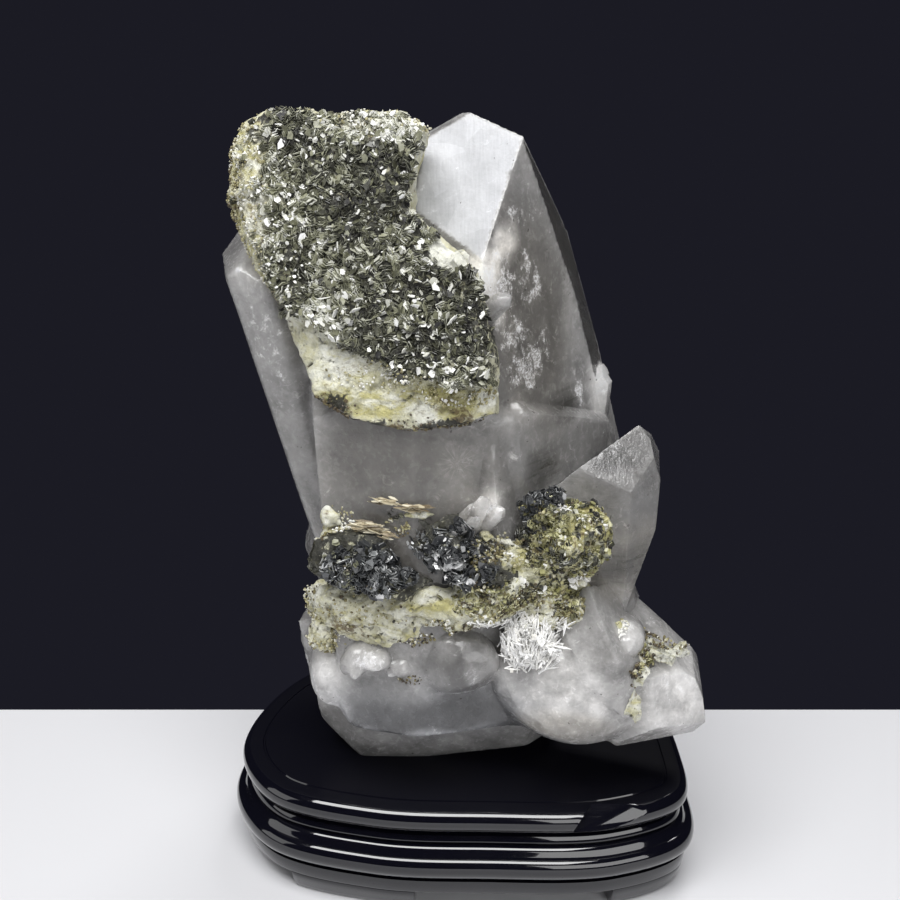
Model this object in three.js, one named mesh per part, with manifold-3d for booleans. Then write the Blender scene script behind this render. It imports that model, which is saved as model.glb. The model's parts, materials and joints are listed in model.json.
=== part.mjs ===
// Himalayan quartz cluster with mica on a carved black stand.
// Millimetres, +Z up. -Y is the display side. Points are measured from a mark on the table under the stand;
// the finished group is moved so that its origin lies under the middle of the whole, at the feet's soles.
import * as THREE from "three";
import { ConvexGeometry } from "three/addons/geometries/ConvexGeometry.js";
import { mergeVertices } from "three/addons/utils/BufferGeometryUtils.js";
import Module from "manifold-3d";

const wasm = await Module();
wasm.setup();

// Driving dimensions
const PLATE_TOP = 38; // the stand's plate, which the stone is sunk into
const FOOT_HEIGHT = 8;
const RECESS_DEPTH = 3; // how far the stone is let into the plate
const JOINT_GAP = 0.3; // clearance where one piece lies against another
const WELD = 1e-3; // vertices closer than this are one vertex

const finish = (color, roughness, metalness = 0) =>
  new THREE.MeshStandardMaterial({ color, roughness, metalness });

const FINISH = {
  quartz: finish(0xc4c0b8, 0.12),
  feldspar: finish(0xc9c39a, 0.7),
  mica: finish(0x4d4c3a, 0.35, 0.25),
  goldMica: finish(0x8d8448, 0.4, 0.25),
  albite: finish(0xe2dfd2, 0.6),
  lacquer: finish(0x0b0b0d, 0.12),
};
FINISH.quartz.transparent = true;
FINISH.quartz.opacity = 0.75;

// Solids

function solid(geometry) {
  const bare = new THREE.BufferGeometry().setAttribute("position", geometry.getAttribute("position"));
  bare.setIndex(geometry.index);
  const merged = mergeVertices(bare, WELD);
  return new wasm.Manifold(
    new wasm.Mesh({
      numProp: 3,
      vertProperties: merged.attributes.position.array,
      triVerts: new Uint32Array(merged.index.array),
    }),
  );
}

function union(solids) {
  return solids.reduce((whole, next) => whole.add(next));
}

function largest(cut) {
  const bodies = cut.decompose();
  return bodies.reduce((a, b) => (b.volume() > a.volume() ? b : a));
}

function piece(name, body, material) {
  const made = body.getMesh();
  const geometry = new THREE.BufferGeometry()
    .setAttribute("position", new THREE.BufferAttribute(made.vertProperties, 3))
    .setIndex(new THREE.BufferAttribute(made.triVerts, 1));
  geometry.computeVertexNormals();
  const mesh = new THREE.Mesh(geometry, material);
  mesh.name = name;
  return mesh;
}

// Directions and chance

const point = (p) => new THREE.Vector3(...p);

// A direction by its bearing from the display side towards +X, and its rise above level, in degrees.
function facing(bearing, rise) {
  const b = THREE.MathUtils.degToRad(bearing);
  const r = THREE.MathUtils.degToRad(rise);
  return new THREE.Vector3(Math.sin(b) * Math.cos(r), -Math.cos(b) * Math.cos(r), Math.sin(r));
}

function chance(seed) {
  let state = seed;
  return (low = 0, high = 1) => {
    state = (state * 1664525 + 1013904223) % 4294967296;
    return low + ((high - low) * state) / 4294967296;
  };
}

// Smooth noise between -1 and 1, from random values on a lattice of unit cells.
function noise(p, seed) {
  const cell = [Math.floor(p.x), Math.floor(p.y), Math.floor(p.z)];
  const part = [p.x - cell[0], p.y - cell[1], p.z - cell[2]].map((t) => t * t * (3 - 2 * t));
  let sum = 0;
  for (let corner = 0; corner < 8; corner += 1) {
    const step = [corner & 1, (corner >> 1) & 1, corner >> 2];
    const at = cell.map((c, i) => c + step[i]);
    const wave = Math.sin(at[0] * 127.1 + at[1] * 311.7 + at[2] * 74.7 + seed * 53.3) * 43758.5453;
    const weight = part.reduce((w, t, i) => w * (step[i] ? t : 1 - t), 1);
    sum += weight * (2 * (wave - Math.floor(wave)) - 1);
  }
  return sum;
}

// Flat-faced crystals

const ON_PLANE = 1e-4; // a corner this close to a face lies on it
const SAME_CORNER = 0.02;
const PARALLEL = 1e-4;

// The solid that a set of flat faces encloses. Each face has a unit normal and the distance of its plane.
function enclosed(faces, skin = 0) {
  const planes = faces.map(({ normal, distance }) => ({ normal, distance: distance + skin }));
  const corners = [];
  planes.forEach((a, i) => {
    planes.slice(i + 1).forEach((b, j) => {
      const edge = new THREE.Vector3().crossVectors(a.normal, b.normal);
      planes.slice(i + j + 2).forEach((c) => {
        const det = edge.dot(c.normal);
        if (Math.abs(det) < PARALLEL) return;
        const corner = new THREE.Vector3()
          .crossVectors(b.normal, c.normal)
          .multiplyScalar(a.distance)
          .addScaledVector(new THREE.Vector3().crossVectors(c.normal, a.normal), b.distance)
          .addScaledVector(edge, c.distance)
          .divideScalar(det);
        const within = planes.every((p) => p.normal.dot(corner) < p.distance + ON_PLANE);
        const known = corners.some((other) => other.distanceTo(corner) < SAME_CORNER);
        if (within && !known) corners.push(corner);
      });
    });
  });
  return solid(new ConvexGeometry(corners));
}

const face = (bearing, rise, through) => {
  const normal = facing(bearing, rise);
  return { normal, distance: normal.dot(point(through)) };
};

const SIDES = 6;
const POINT_SLOPE = THREE.MathUtils.degToRad(52); // a point face leans this far from the crystal's axis

// A quartz crystal from its root to its tip: six long sides and six point faces. sides scales each side's
// distance from the axis, points moves each point face towards the root, and taper narrows it to the tip.
function quartz({ root, tip, width, roll = 0, sides = [], points = [], taper = 2 }) {
  const foot = point(root);
  const head = point(tip);
  const axis = head.clone().sub(foot).normalize();
  const across = new THREE.Vector3(0, 0, 1).cross(axis);
  if (across.length() < 0.1) across.set(1, 0, 0);
  across.normalize();
  const over = new THREE.Vector3().crossVectors(axis, across);
  const lean = THREE.MathUtils.degToRad(taper);
  const faces = [{ normal: axis.clone().negate(), distance: -axis.dot(foot) }];
  for (let k = 0; k < SIDES; k += 1) {
    const turn = THREE.MathUtils.degToRad(roll + (360 / SIDES) * k);
    const out = across.clone().multiplyScalar(Math.cos(turn)).addScaledVector(over, Math.sin(turn));
    const side = out.clone().multiplyScalar(Math.cos(lean)).addScaledVector(axis, Math.sin(lean));
    const wall = foot.clone().addScaledVector(out, (width / 2) * (sides[k] ?? 1));
    faces.push({ normal: side, distance: side.dot(wall) });
    const slope = out.multiplyScalar(Math.sin(POINT_SLOPE)).addScaledVector(axis, Math.cos(POINT_SLOPE));
    const apex = head.clone().addScaledVector(axis, -(points[k] ?? 0));
    faces.push({ normal: slope, distance: slope.dot(apex) });
  }
  return faces;
}

// Rounded lumps

// A lump with an uneven skin. turn is its rotation in degrees, rough the height of its bumps as a share of
// its radius and grain their size.
function lump({ at, radii, turn = [0, 0, 0], rough = 0.12, grain = 0.9, seed = 1, detail = 2 }, skin = 0) {
  const ball = new THREE.IcosahedronGeometry(1, detail);
  ball.deleteAttribute("normal");
  ball.deleteAttribute("uv");
  const merged = mergeVertices(ball, WELD);
  const places = merged.attributes.position;
  const spin = new THREE.Euler(...turn.map(THREE.MathUtils.degToRad));
  const v = new THREE.Vector3();
  for (let i = 0; i < places.count; i += 1) {
    v.fromBufferAttribute(places, i);
    const swell = 1 + rough * noise(v.clone().divideScalar(grain), seed);
    v.multiply(point(radii).multiplyScalar(swell).addScalar(skin));
    v.applyEuler(spin).add(point(at));
    places.setXYZ(i, v.x, v.y, v.z);
  }
  return solid(merged);
}

// Closed bodies from rings of points, one ring after another, with a flat or crowned cap at each end.
function loft(rings, startCentre, endCentre) {
  const around = rings[0].length;
  const corners = [startCentre, ...rings.flat(), endCentre].flatMap((p) => p.toArray());
  const index = [];
  const at = (ring, i) => 1 + ring * around + (i % around);
  const last = 1 + rings.length * around;
  for (let i = 0; i < around; i += 1) {
    index.push(0, at(0, i + 1), at(0, i));
    index.push(last, at(rings.length - 1, i), at(rings.length - 1, i + 1));
    for (let ring = 0; ring + 1 < rings.length; ring += 1) {
      const [a, b, c, d] = [at(ring, i), at(ring, i + 1), at(ring + 1, i + 1), at(ring + 1, i)];
      index.push(a, b, c, a, c, d);
    }
  }
  const geometry = new THREE.BufferGeometry()
    .setAttribute("position", new THREE.Float32BufferAttribute(corners, 3))
    .setIndex(index);
  const body = solid(geometry);
  if (body.volume() > 0) return body;
  for (let t = 0; t < index.length; t += 3) [index[t + 1], index[t + 2]] = [index[t + 2], index[t + 1]];
  return solid(geometry.setIndex(index));
}

// The quartz cluster

const BRIGHT_FOOT = [3.5, -27, 210.7]; // lowest corner of the bright tip face
const CLEAR_EDGE = [22.6, -3.3, 220.2]; // on the right edge of the clear face below it
const BODY_EDGE = [-16, -40, 160]; // the upright edge below the slab
const STEP_EDGE = [22, -24.4, 164.5]; // on the step below the clear face

const MAIN_CRYSTAL = [
  face(-18, 38, BRIGHT_FOOT),
  face(-60, 59, [-2.6, 2.9, 244.7]),
  face(-85, 16, [-16.5, -11.2, 222.1]),
  face(48, 10, BRIGHT_FOOT),
  face(-35, 7, BRIGHT_FOOT),
  face(72, 17, CLEAR_EDGE),
  face(64, 13, [39.6, 2, 168]),
  face(135, 36, [15.3, -6, 240.9]),
  face(122, 13, [36, 10, 190]),
  face(180, 9, [0, 33, 170]),
  face(-128, 12, [-30, 18, 180]),
  face(-150, 40, [-3, 5, 246.4]),
  face(-90, 7, [-40, 0, 180]),
  face(0, -90, [0, 0, 120]),
];

const BODY = [
  face(-16, 2, BODY_EDGE),
  face(13, 2, BODY_EDGE),
  face(47, 4, STEP_EDGE),
  face(96, -3, [43.5, 4, 150]),
  face(140, 4, [34, 28, 130]),
  face(182, 5, [0, 39, 130]),
  face(-138, 6, [-32, 26, 130]),
  face(-84, -3, [-46, 0, 125]),
  face(75, 55, STEP_EDGE),
  face(22, 64, [14, -33, 167]),
  face(-40, 42, [-44, -20, 176]),
  face(110, 60, [44, 6, 158]),
  face(0, -90, [0, 0, 62]),
];

const BACK_FOOT = [
  face(-30, -10, [-32, -26, 66]),
  face(0, -20, [-20, -28, 68]),
  face(45, -8, [24, -20, 66]),
  face(95, -14, [38, 0, 70]),
  face(150, -10, [24, 32, 70]),
  face(-160, -12, [-14, 33, 70]),
  face(-100, -6, [-48, 2, 62]),
  face(-66, -38, [-44, -15, 46]),
  face(0, 90, [0, 0, 92]),
  face(40, -75, [-6, -17, PLATE_TOP]),
  face(0, -90, [0, 0, PLATE_TOP - RECESS_DEPTH]),
];

const LEFT_CRYSTAL = [
  face(-80, -14, [-71.5, -4, 201]),
  face(-22, -9, [-62, -15, 180]),
  face(30, 0, [-46, -14, 150]),
  face(155, 10, [-52, 14, 160]),
  face(-140, -6, [-64, 9, 180]),
  face(-72, 44, [-70, -4, 206.5]),
  face(24, 52, [-64, -8, 212]),
  face(160, 38, [-58, 4, 214]),
  face(90, 20, [-38, 0, 160]),
  face(0, -90, [0, 0, 104]),
];

const MIDDLE_RIGHT_TIP = [51.4, -14, 157.2];
const MIDDLE_RIGHT_CRYSTAL = [
  face(-12, 5, [44, -28, 130]),
  face(42, 3, [55, -22, 136]),
  face(84, -2, [59, -12, 137]),
  face(84, -20, [56, -12, 118]),
  face(80, 17, [57.3, -12, 148.5]),
  face(80, 45, [53.2, -12, 155.8]),
  face(4, 40, MIDDLE_RIGHT_TIP),
  face(-126, 43, MIDDLE_RIGHT_TIP),
  face(46, 50, MIDDLE_RIGHT_TIP),
  face(150, 46, MIDDLE_RIGHT_TIP),
  face(145, -4, [48, 8, 130]),
  face(-176, 0, [40, 10, 130]),
  face(-96, 12, [14, -20, 130]),
  face(0, -90, [0, 0, 84]),
];

const EDGE_CRYSTAL = quartz({
  root: [39, 5, 138],
  tip: [42.5, 4, 173],
  width: 8.5,
  roll: 20,
  points: [0, 2, 3, 0, 4, 1],
});

const LOWER_RIGHT_CRYSTAL = [
  face(26, 8, [61, -43, 80]),
  face(-16, 0, [44, -42, 80]),
  face(16, -38, [62, -42, 67]),
  face(40, 62, [58, -24, 95]),
  face(78, 50, [64, -22, 90.5]),
  face(120, 40, [62, -15, 90]),
  face(82, 22, [72, -27, 81.5]),
  face(84, 9, [75, -27, 70]),
  face(78, -24, [73.6, -29, 61.5]),
  face(20, -74, [62, -32, 58.3]),
  face(-60, -40, [36, -34, 66]),
  face(165, 4, [56, -13, 80]),
  face(-90, 0, [30, 0, 80]),
];

const BACK_CRYSTALS = [
  { root: [-8, 16, 70], tip: [-22, 42, 176], width: 38, roll: 10, points: [0, 4, 9, 3, 0, 8], taper: 3 },
  { root: [20, 14, 76], tip: [50, 38, 140], width: 32, roll: 24, points: [5, 0, 3, 8, 2, 0] },
  { root: [-24, 12, 64], tip: [-52, 36, 118], width: 30, roll: 40, points: [0, 6, 2, 4, 0, 3] },
];

const SMALL_CRYSTALS = [
  { root: [-2, -24, 190], tip: [11, -38, 204], width: 9, roll: 15, taper: 6 },
  { root: [-2, -36, 130], tip: [5, -46, 148], width: 8, taper: 6 },
  { root: [1, -36, 131], tip: [10, -45, 144], width: 7, roll: 30, taper: 6 },
  { root: [-8, -24, 84], tip: [-4, -42, 78], width: 30, roll: 10, points: [0, 8, 2, 7, 3, 9], taper: 4 },
];

const QUARTZ_LUMPS = [
  { at: [33, -33, 78], radii: [25, 17, 19], rough: 0.1, grain: 1.1, seed: 4, turn: [0, 8, 0] },
  { at: [20, -30, 84], radii: [15, 17, 17], rough: 0.1, grain: 1.0, seed: 9 },
  { at: [47.5, -37, 98], radii: [6.5, 10, 5.5], rough: 0.08, grain: 0.8, seed: 2, detail: 1 },
  { at: [-26, -31, 91], radii: [10, 9, 8], rough: 0.12, grain: 0.8, seed: 6, detail: 1 },
  { at: [42, -15, 99], radii: [13, 12, 10], rough: 0.1, grain: 1.0, seed: 12, detail: 1 },
  { at: [-36, -16, 84], radii: [17, 13, 14], rough: 0.1, grain: 1.0, seed: 3, detail: 1 },
];

function quartzCluster(skin = 0) {
  const crystals = [
    MAIN_CRYSTAL,
    BODY,
    BACK_FOOT,
    LEFT_CRYSTAL,
    MIDDLE_RIGHT_CRYSTAL,
    EDGE_CRYSTAL,
    LOWER_RIGHT_CRYSTAL,
    ...BACK_CRYSTALS.map(quartz),
    ...SMALL_CRYSTALS.map(quartz),
  ];
  const lumps = QUARTZ_LUMPS.map((shape) => lump(shape, skin));
  return union([...crystals.map((faces) => enclosed(faces, skin)), ...lumps]);
}

// The upper slab: feldspar with a crust of mica flakes on its front

const SLAB = {
  middle: point([-28.7, -29, 210.6]),
  out: facing(-6, 20),
  thickness: 17,
  micaThickness: 3.8,
  grain: 5, // size of the unevenness round its edge
};
SLAB.along = new THREE.Vector3(0, 0, 1).cross(SLAB.out).normalize();
SLAB.up = new THREE.Vector3().crossVectors(SLAB.out, SLAB.along);

const slabPoint = (along, up, depth) =>
  SLAB.middle
    .clone()
    .addScaledVector(SLAB.along, along)
    .addScaledVector(SLAB.up, up)
    .addScaledVector(SLAB.out, -depth);

// The mica's edge and the feldspar's edge round the slab, as [along, up] from its middle.
const MICA_EDGE = [
  [-35, 30], [-33, 36], [-28, 41], [-17, 41], [-10, 39], [-3, 40], [7, 40], [15, 37], [14, 28], [12, 15],
  [21, 7], [31, -2], [34, -10], [36, -24], [37, -33], [20, -32], [8, -29], [-5, -24], [-13, -18], [-21, -14],
  [-28, -3], [-33, 8], [-36, 19],
];
const SLAB_EDGE = [
  [-39, 30], [-37, 37], [-30, 42], [-17, 42], [-11, 40], [-3, 42], [7, 42], [16, 38], [13, 28], [12, 15],
  [21, 8], [31, -1], [34, -10], [37, -25], [38, -40], [28, -44], [14, -46], [-4, -43], [-14, -37], [-18, -26],
  [-24, -14], [-33, -1], [-40, 16],
];

// One ring of the slab: its edge points, with the points between them, set in by an inset and moved by noise
// in the slab's plane, and by up to bump across it.
function slabRing(edge, depth, inset, seed, bump = 0) {
  const middle = edge.reduce((sum, [x, y]) => [sum[0] + x / edge.length, sum[1] + y / edge.length], [0, 0]);
  return edge.flatMap(([x, y], i) => {
    const [nextX, nextY] = edge[(i + 1) % edge.length];
    return [0, 0.5].map((t) => {
      const along = x + (nextX - x) * t;
      const up = y + (nextY - y) * t;
      const reach = Math.hypot(along - middle[0], up - middle[1]);
      const p = new THREE.Vector3(along, up, depth).divideScalar(SLAB.grain);
      const scale = 1 - (inset + noise(p, seed)) / reach;
      return slabPoint(
        middle[0] + (along - middle[0]) * scale,
        middle[1] + (up - middle[1]) * scale,
        depth + bump * noise(p, seed + 5),
      );
    });
  });
}

function slabBody() {
  const rings = [
    slabRing(MICA_EDGE, 0, 1, 12),
    slabRing(SLAB_EDGE, 3.5, 0.3, 13, 1.2),
    slabRing(SLAB_EDGE, 8, 0, 14, 1.5),
    slabRing(SLAB_EDGE, 13, 0.8, 15, 1.5),
    slabRing(SLAB_EDGE, SLAB.thickness, 4, 16, 1.5),
  ];
  return loft(rings, slabPoint(0, 0, 0), slabPoint(0, 0, SLAB.thickness));
}

function micaSheet() {
  const front = -SLAB.micaThickness;
  const rings = [
    slabRing(MICA_EDGE, -JOINT_GAP, 0.4, 22),
    slabRing(MICA_EDGE, front + 1, 0, 23),
    slabRing(MICA_EDGE, front, 3, 24, 0.6),
  ];
  return loft(rings, slabPoint(0, 0, -JOINT_GAP), slabPoint(0, 0, front - 0.6));
}

// A six-sided mica flake, centred on a point with its flat side turned to a direction.
function flake(at, direction, radius, thickness, turn = 0) {
  const plate = new THREE.CylinderGeometry(radius, radius, thickness, 6);
  plate.rotateY(turn);
  plate.applyQuaternion(new THREE.Quaternion().setFromUnitVectors(new THREE.Vector3(0, 1, 0), direction));
  plate.translate(at.x, at.y, at.z);
  plate.deleteAttribute("normal");
  plate.deleteAttribute("uv");
  return solid(plate);
}

function randomTilt(direction, spread, random) {
  const tilt = new THREE.Vector3(random(-1, 1), random(-1, 1), random(-1, 1)).multiplyScalar(spread);
  return direction.clone().add(tilt).normalize();
}

function inside(edge, x, y) {
  let odd = false;
  edge.forEach(([x1, y1], i) => {
    const [x2, y2] = edge[(i + 1) % edge.length];
    if (y1 > y !== y2 > y && x < x1 + ((x2 - x1) * (y - y1)) / (y2 - y1)) odd = !odd;
  });
  return odd;
}

const FLAKE_PITCH = 15;
const LARGE_FLAKE = 3;

function slabFlakes() {
  const random = chance(77);
  const flakes = [];
  for (let along = -33; along < 36; along += FLAKE_PITCH) {
    for (let up = -30; up < 40; up += FLAKE_PITCH) {
      const x = along + random(-2.5, 2.5);
      const y = up + random(-2.5, 2.5);
      const direction = randomTilt(SLAB.out, 0.75, random);
      const radius = LARGE_FLAKE * random(0.8, 1.25);
      if (inside(MICA_EDGE, x, y)) {
        flakes.push(flake(slabPoint(x, y, -SLAB.micaThickness), direction, radius, 0.9, random(0, 1)));
      }
    }
  }
  return flakes;
}

// The belt round the waist: feldspar lumps, mica masses and white blades

const BELT_LUMPS = [
  { at: [-40, -27, 131], radii: [8, 8, 9], seed: 21 },
  { at: [-42, -26, 104], radii: [9, 9, 8], seed: 22 },
  { at: [-33, -32, 108], radii: [14, 12, 8], seed: 23 },
  { at: [-15, -37, 110], radii: [18, 10, 8], seed: 24 },
  { at: [5, -38, 112], radii: [17, 10, 9], seed: 25, turn: [0, -14, 0] },
  { at: [22, -35, 122], radii: [15, 9, 12], seed: 26, detail: 1 },
  { at: [25, -33, 109], radii: [12, 10, 9], seed: 27 },
  { at: [-39, -26, 93], radii: [11, 10, 8], seed: 28 },
  { at: [-18, -33, 98], radii: [16, 9, 9], seed: 29, detail: 1 },
  { at: [8, -38, 124], radii: [11, 8, 7], seed: 30, detail: 1 },
  { at: [-10, -36, 135], radii: [14, 7, 6], seed: 31, turn: [0, 10, 0], detail: 1 },
  { at: [-46, -6, 112], radii: [6, 13, 12], seed: 32, detail: 1 },
  { at: [-42, 16, 108], radii: [8, 14, 10], seed: 33, detail: 1 },
  { at: [14, 38, 104], radii: [18, 8, 9], seed: 34, detail: 1 },
  { at: [-10, 38, 98], radii: [17, 8, 9], seed: 35, detail: 1 },
];

const LEFT_MICA = [
  { at: [-33, -37, 124], radii: [14, 9, 11], seed: 41 },
  { at: [-22, -40, 118], radii: [12, 8, 6], seed: 42, turn: [0, 12, 0] },
];
const MIDDLE_MICA = [
  { at: [-6, -41, 131], radii: [10, 8, 9], seed: 43 },
  { at: [4, -43, 123], radii: [10, 7, 6], seed: 44 },
];
const RIGHT_MICA = [
  { at: [28, -38, 131], radii: [13, 9, 12], seed: 45 },
  { at: [21, -40, 142], radii: [6, 5, 5], seed: 46 },
];
const CORNER_MICA = [
  { at: [47, -45, 89], radii: [7, 4, 5], seed: 51 },
  { at: [57, -38, 93], radii: [9, 6, 4.5], seed: 52, turn: [0, 20, 0] },
  { at: [47, -46, 79], radii: [5, 3.5, 6], seed: 53, turn: [0, -20, 0] },
];

function beltBody(skin = 0) {
  return union(BELT_LUMPS.map((l) => lump({ rough: 0.3, grain: 0.55, ...l }, skin)));
}

// Flakes standing out of a mica mass, over the side that is turned to the display side.
function massFlakes(lumps, count, seed) {
  const random = chance(seed);
  return lumps.flatMap(({ at, radii }) =>
    Array.from({ length: count }, () => {
      const out = facing(random(-80, 80), random(-35, 60));
      const spot = point(at).add(out.clone().multiply(point(radii)));
      return flake(spot, randomTilt(out, 0.9, random), random(2.2, 3.4), 0.9, random(0, 1));
    }),
  );
}

function micaMass(lumps, seed, flakesEach = 3) {
  const mass = lumps.map((shape) => lump({ rough: 0.3, grain: 0.5, detail: 1, ...shape }));
  return union([...mass, ...massFlakes(lumps, flakesEach, seed)]);
}

const SPRAY_HEART = [17, -41, 98];
const SPRAY_BLADES = 10;
const BLADE_SIDES = [1, 0.35, 0.35, 1, 0.35, 0.35]; // flattens a crystal into a blade

function albiteSpray() {
  const random = chance(5);
  const heart = lump({ at: SPRAY_HEART, radii: [8, 6, 9], rough: 0.2, seed: 61, detail: 1 });
  const blades = Array.from({ length: SPRAY_BLADES }, (_, k) => {
    const out = facing(random(-75, 75), -50 + (110 * k) / SPRAY_BLADES + random(-8, 8));
    const tip = point(SPRAY_HEART).addScaledVector(out, random(9, 14)).toArray();
    return enclosed(quartz({ root: SPRAY_HEART, tip, width: 3.4, sides: BLADE_SIDES }));
  });
  return union([heart, ...blades]);
}

// The stand

const BASE_OUTLINE = [
  [-80, -9], [-66, -36], [-32, -48.5], [5, -51], [48, -49.5], [73, -37], [76.5, -12], [70, 22], [44, 46],
  [0, 54], [-43, 50], [-69, 28],
];
const OUTLINE_STEPS = 34;

// A half-round moulding between two heights, reaching out from an inset.
function bead(top, bottom, reach, inset, steps) {
  const middle = (top + bottom) / 2;
  return Array.from({ length: steps + 1 }, (_, k) => {
    const turn = (Math.PI * k) / steps;
    return [inset + reach * (1 - Math.sin(turn)), middle + (top - middle) * Math.cos(turn)];
  });
}

// The stand's side from the plate's edge down, as [inset from the widest outline, height].
const STAND_PROFILE = [
  ...bead(PLATE_TOP, 30.2, 3.6, 3.2, 5),
  [8.2, 29.6],
  [8.2, 28.6],
  [6, 28.2],
  [5.2, 26.4],
  [6.6, 25.8],
  [6.6, 24.9],
  [4.6, 24.4],
  [3.4, 22.6],
  ...bead(22.2, 14.4, 3, 0, 5),
  [4.2, 13.9],
  [4.2, 13.2],
  [2.2, 12.8],
  [2.6, FOOT_HEIGHT],
];

const standCurve = new THREE.CatmullRomCurve3(
  BASE_OUTLINE.map(([x, y]) => new THREE.Vector3(x, y, 0)),
  true,
  "centripetal",
);

// A place a share t of the way round the stand's outline, and the outward direction there.
function outlinePlace(t) {
  const tangent = standCurve.getTangentAt(t);
  return { at: standCurve.getPointAt(t), out: new THREE.Vector3(tangent.y, -tangent.x, 0) };
}

const standPlan = Array.from({ length: OUTLINE_STEPS }, (_, k) => outlinePlace(k / OUTLINE_STEPS));

const standRing = (inset, height) =>
  standPlan.map(({ at, out }) => at.clone().addScaledVector(out, -inset).setZ(height));

// The flat carved into the plate's front right corner: it rises to the plate from a slanting left end.
const CARVING = { foot: [30.4, -50.4, 28.9], rise: 45, slant: 35, size: 80 };

function cornerCut() {
  const { foot, rise, slant, size } = CARVING;
  const out = facing(0, rise);
  const right = new THREE.Vector3(1, 0, 0).applyAxisAngle(out, -THREE.MathUtils.degToRad(slant));
  const block = new THREE.BoxGeometry(size, size, size);
  block.deleteAttribute("normal");
  block.deleteAttribute("uv");
  block.translate(size / 2, size / 2, 0);
  block.applyMatrix4(new THREE.Matrix4().makeBasis(right, out, right.clone().cross(out)));
  block.translate(...foot);
  return solid(block);
}

function standBody() {
  const rings = STAND_PROFILE.map(([inset, height]) => standRing(inset, height));
  return loft(rings, new THREE.Vector3(0, 0, PLATE_TOP), new THREE.Vector3(0, 0, FOOT_HEIGHT));
}

// Each foot follows the outline from one place to another and curves in towards the floor.
const FEET = {
  stand_foot_front_left: { from: 0.09, to: 0.19 },
  stand_foot_front_right: { from: 0.34, to: 0.45 },
  stand_foot_back_right: { from: 0.6, to: 0.71 },
  stand_foot_back_left: { from: 0.85, to: 0.96 },
};
const FOOT_STEPS = 6;
const FOOT_DEPTH = 13;

function footBody({ from, to }) {
  const section = [
    [2.8, FOOT_HEIGHT - JOINT_GAP],
    [3.4, 5],
    [5, 0],
    [FOOT_DEPTH, 0],
    [FOOT_DEPTH + 3, FOOT_HEIGHT - JOINT_GAP],
  ];
  const rings = Array.from({ length: FOOT_STEPS + 1 }, (_, k) => {
    const { at, out } = outlinePlace(from + ((to - from) * k) / FOOT_STEPS);
    return section.map(([inset, height]) => at.clone().addScaledVector(out, -inset).setZ(height));
  });
  const middle = (ring) =>
    ring.reduce((sum, p) => sum.add(p), new THREE.Vector3()).divideScalar(ring.length);
  return loft(rings, middle(rings[0]), middle(rings[FOOT_STEPS]));
}

// Putting the pieces together

const quartzSolid = quartzCluster();
const quartzRoom = quartzCluster(JOINT_GAP);
const beltRoom = beltBody(JOINT_GAP);

// A piece that sits on the quartz and, on the belt, also on the feldspar.
const onQuartz = (body) => largest(body.subtract(quartzRoom));
const onBelt = (body) => largest(body.subtract(quartzRoom).subtract(beltRoom));

const specimen = new THREE.Group();
specimen.add(piece("quartz_cluster", quartzSolid, FINISH.quartz));
specimen.add(piece("upper_feldspar", onQuartz(slabBody()), FINISH.feldspar));
specimen.add(piece("upper_mica", onQuartz(union([micaSheet(), ...slabFlakes()])), FINISH.mica));
specimen.add(piece("lower_feldspar", onQuartz(beltBody()), FINISH.feldspar));
specimen.add(piece("lower_mica_left", onBelt(micaMass(LEFT_MICA, 90)), FINISH.mica));
specimen.add(piece("lower_mica_middle", onBelt(micaMass(MIDDLE_MICA, 91)), FINISH.mica));
specimen.add(piece("lower_mica_right", onBelt(micaMass(RIGHT_MICA, 92)), FINISH.goldMica));
specimen.add(piece("corner_mica", onQuartz(micaMass(CORNER_MICA, 8, 1)), FINISH.goldMica));
specimen.add(piece("albite_spray", onBelt(albiteSpray()), FINISH.albite));
specimen.add(piece("stand", standBody().subtract(quartzRoom).subtract(cornerCut()), FINISH.lacquer));
Object.entries(FEET).forEach(([name, place]) => specimen.add(piece(name, footBody(place), FINISH.lacquer)));

const box = new THREE.Box3().setFromObject(specimen);
const middle = box.getCenter(new THREE.Vector3());
specimen.position.set(-middle.x, -middle.y, -box.min.z);

export default specimen;
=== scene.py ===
"""Looks of the Himalayan quartz cluster with mica on its carved black stand.

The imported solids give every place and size. Each class below builds one sub-assembly round them, in metres,
with +Z up and the display side towards -Y.
"""
import json
import logging
import math
from dataclasses import dataclass
from enum import Enum
from typing import Any, Callable, Sequence

import bmesh
import bpy
import numpy as np
from mathutils import Matrix, Vector
from mathutils.bvhtree import BVHTree

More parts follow.
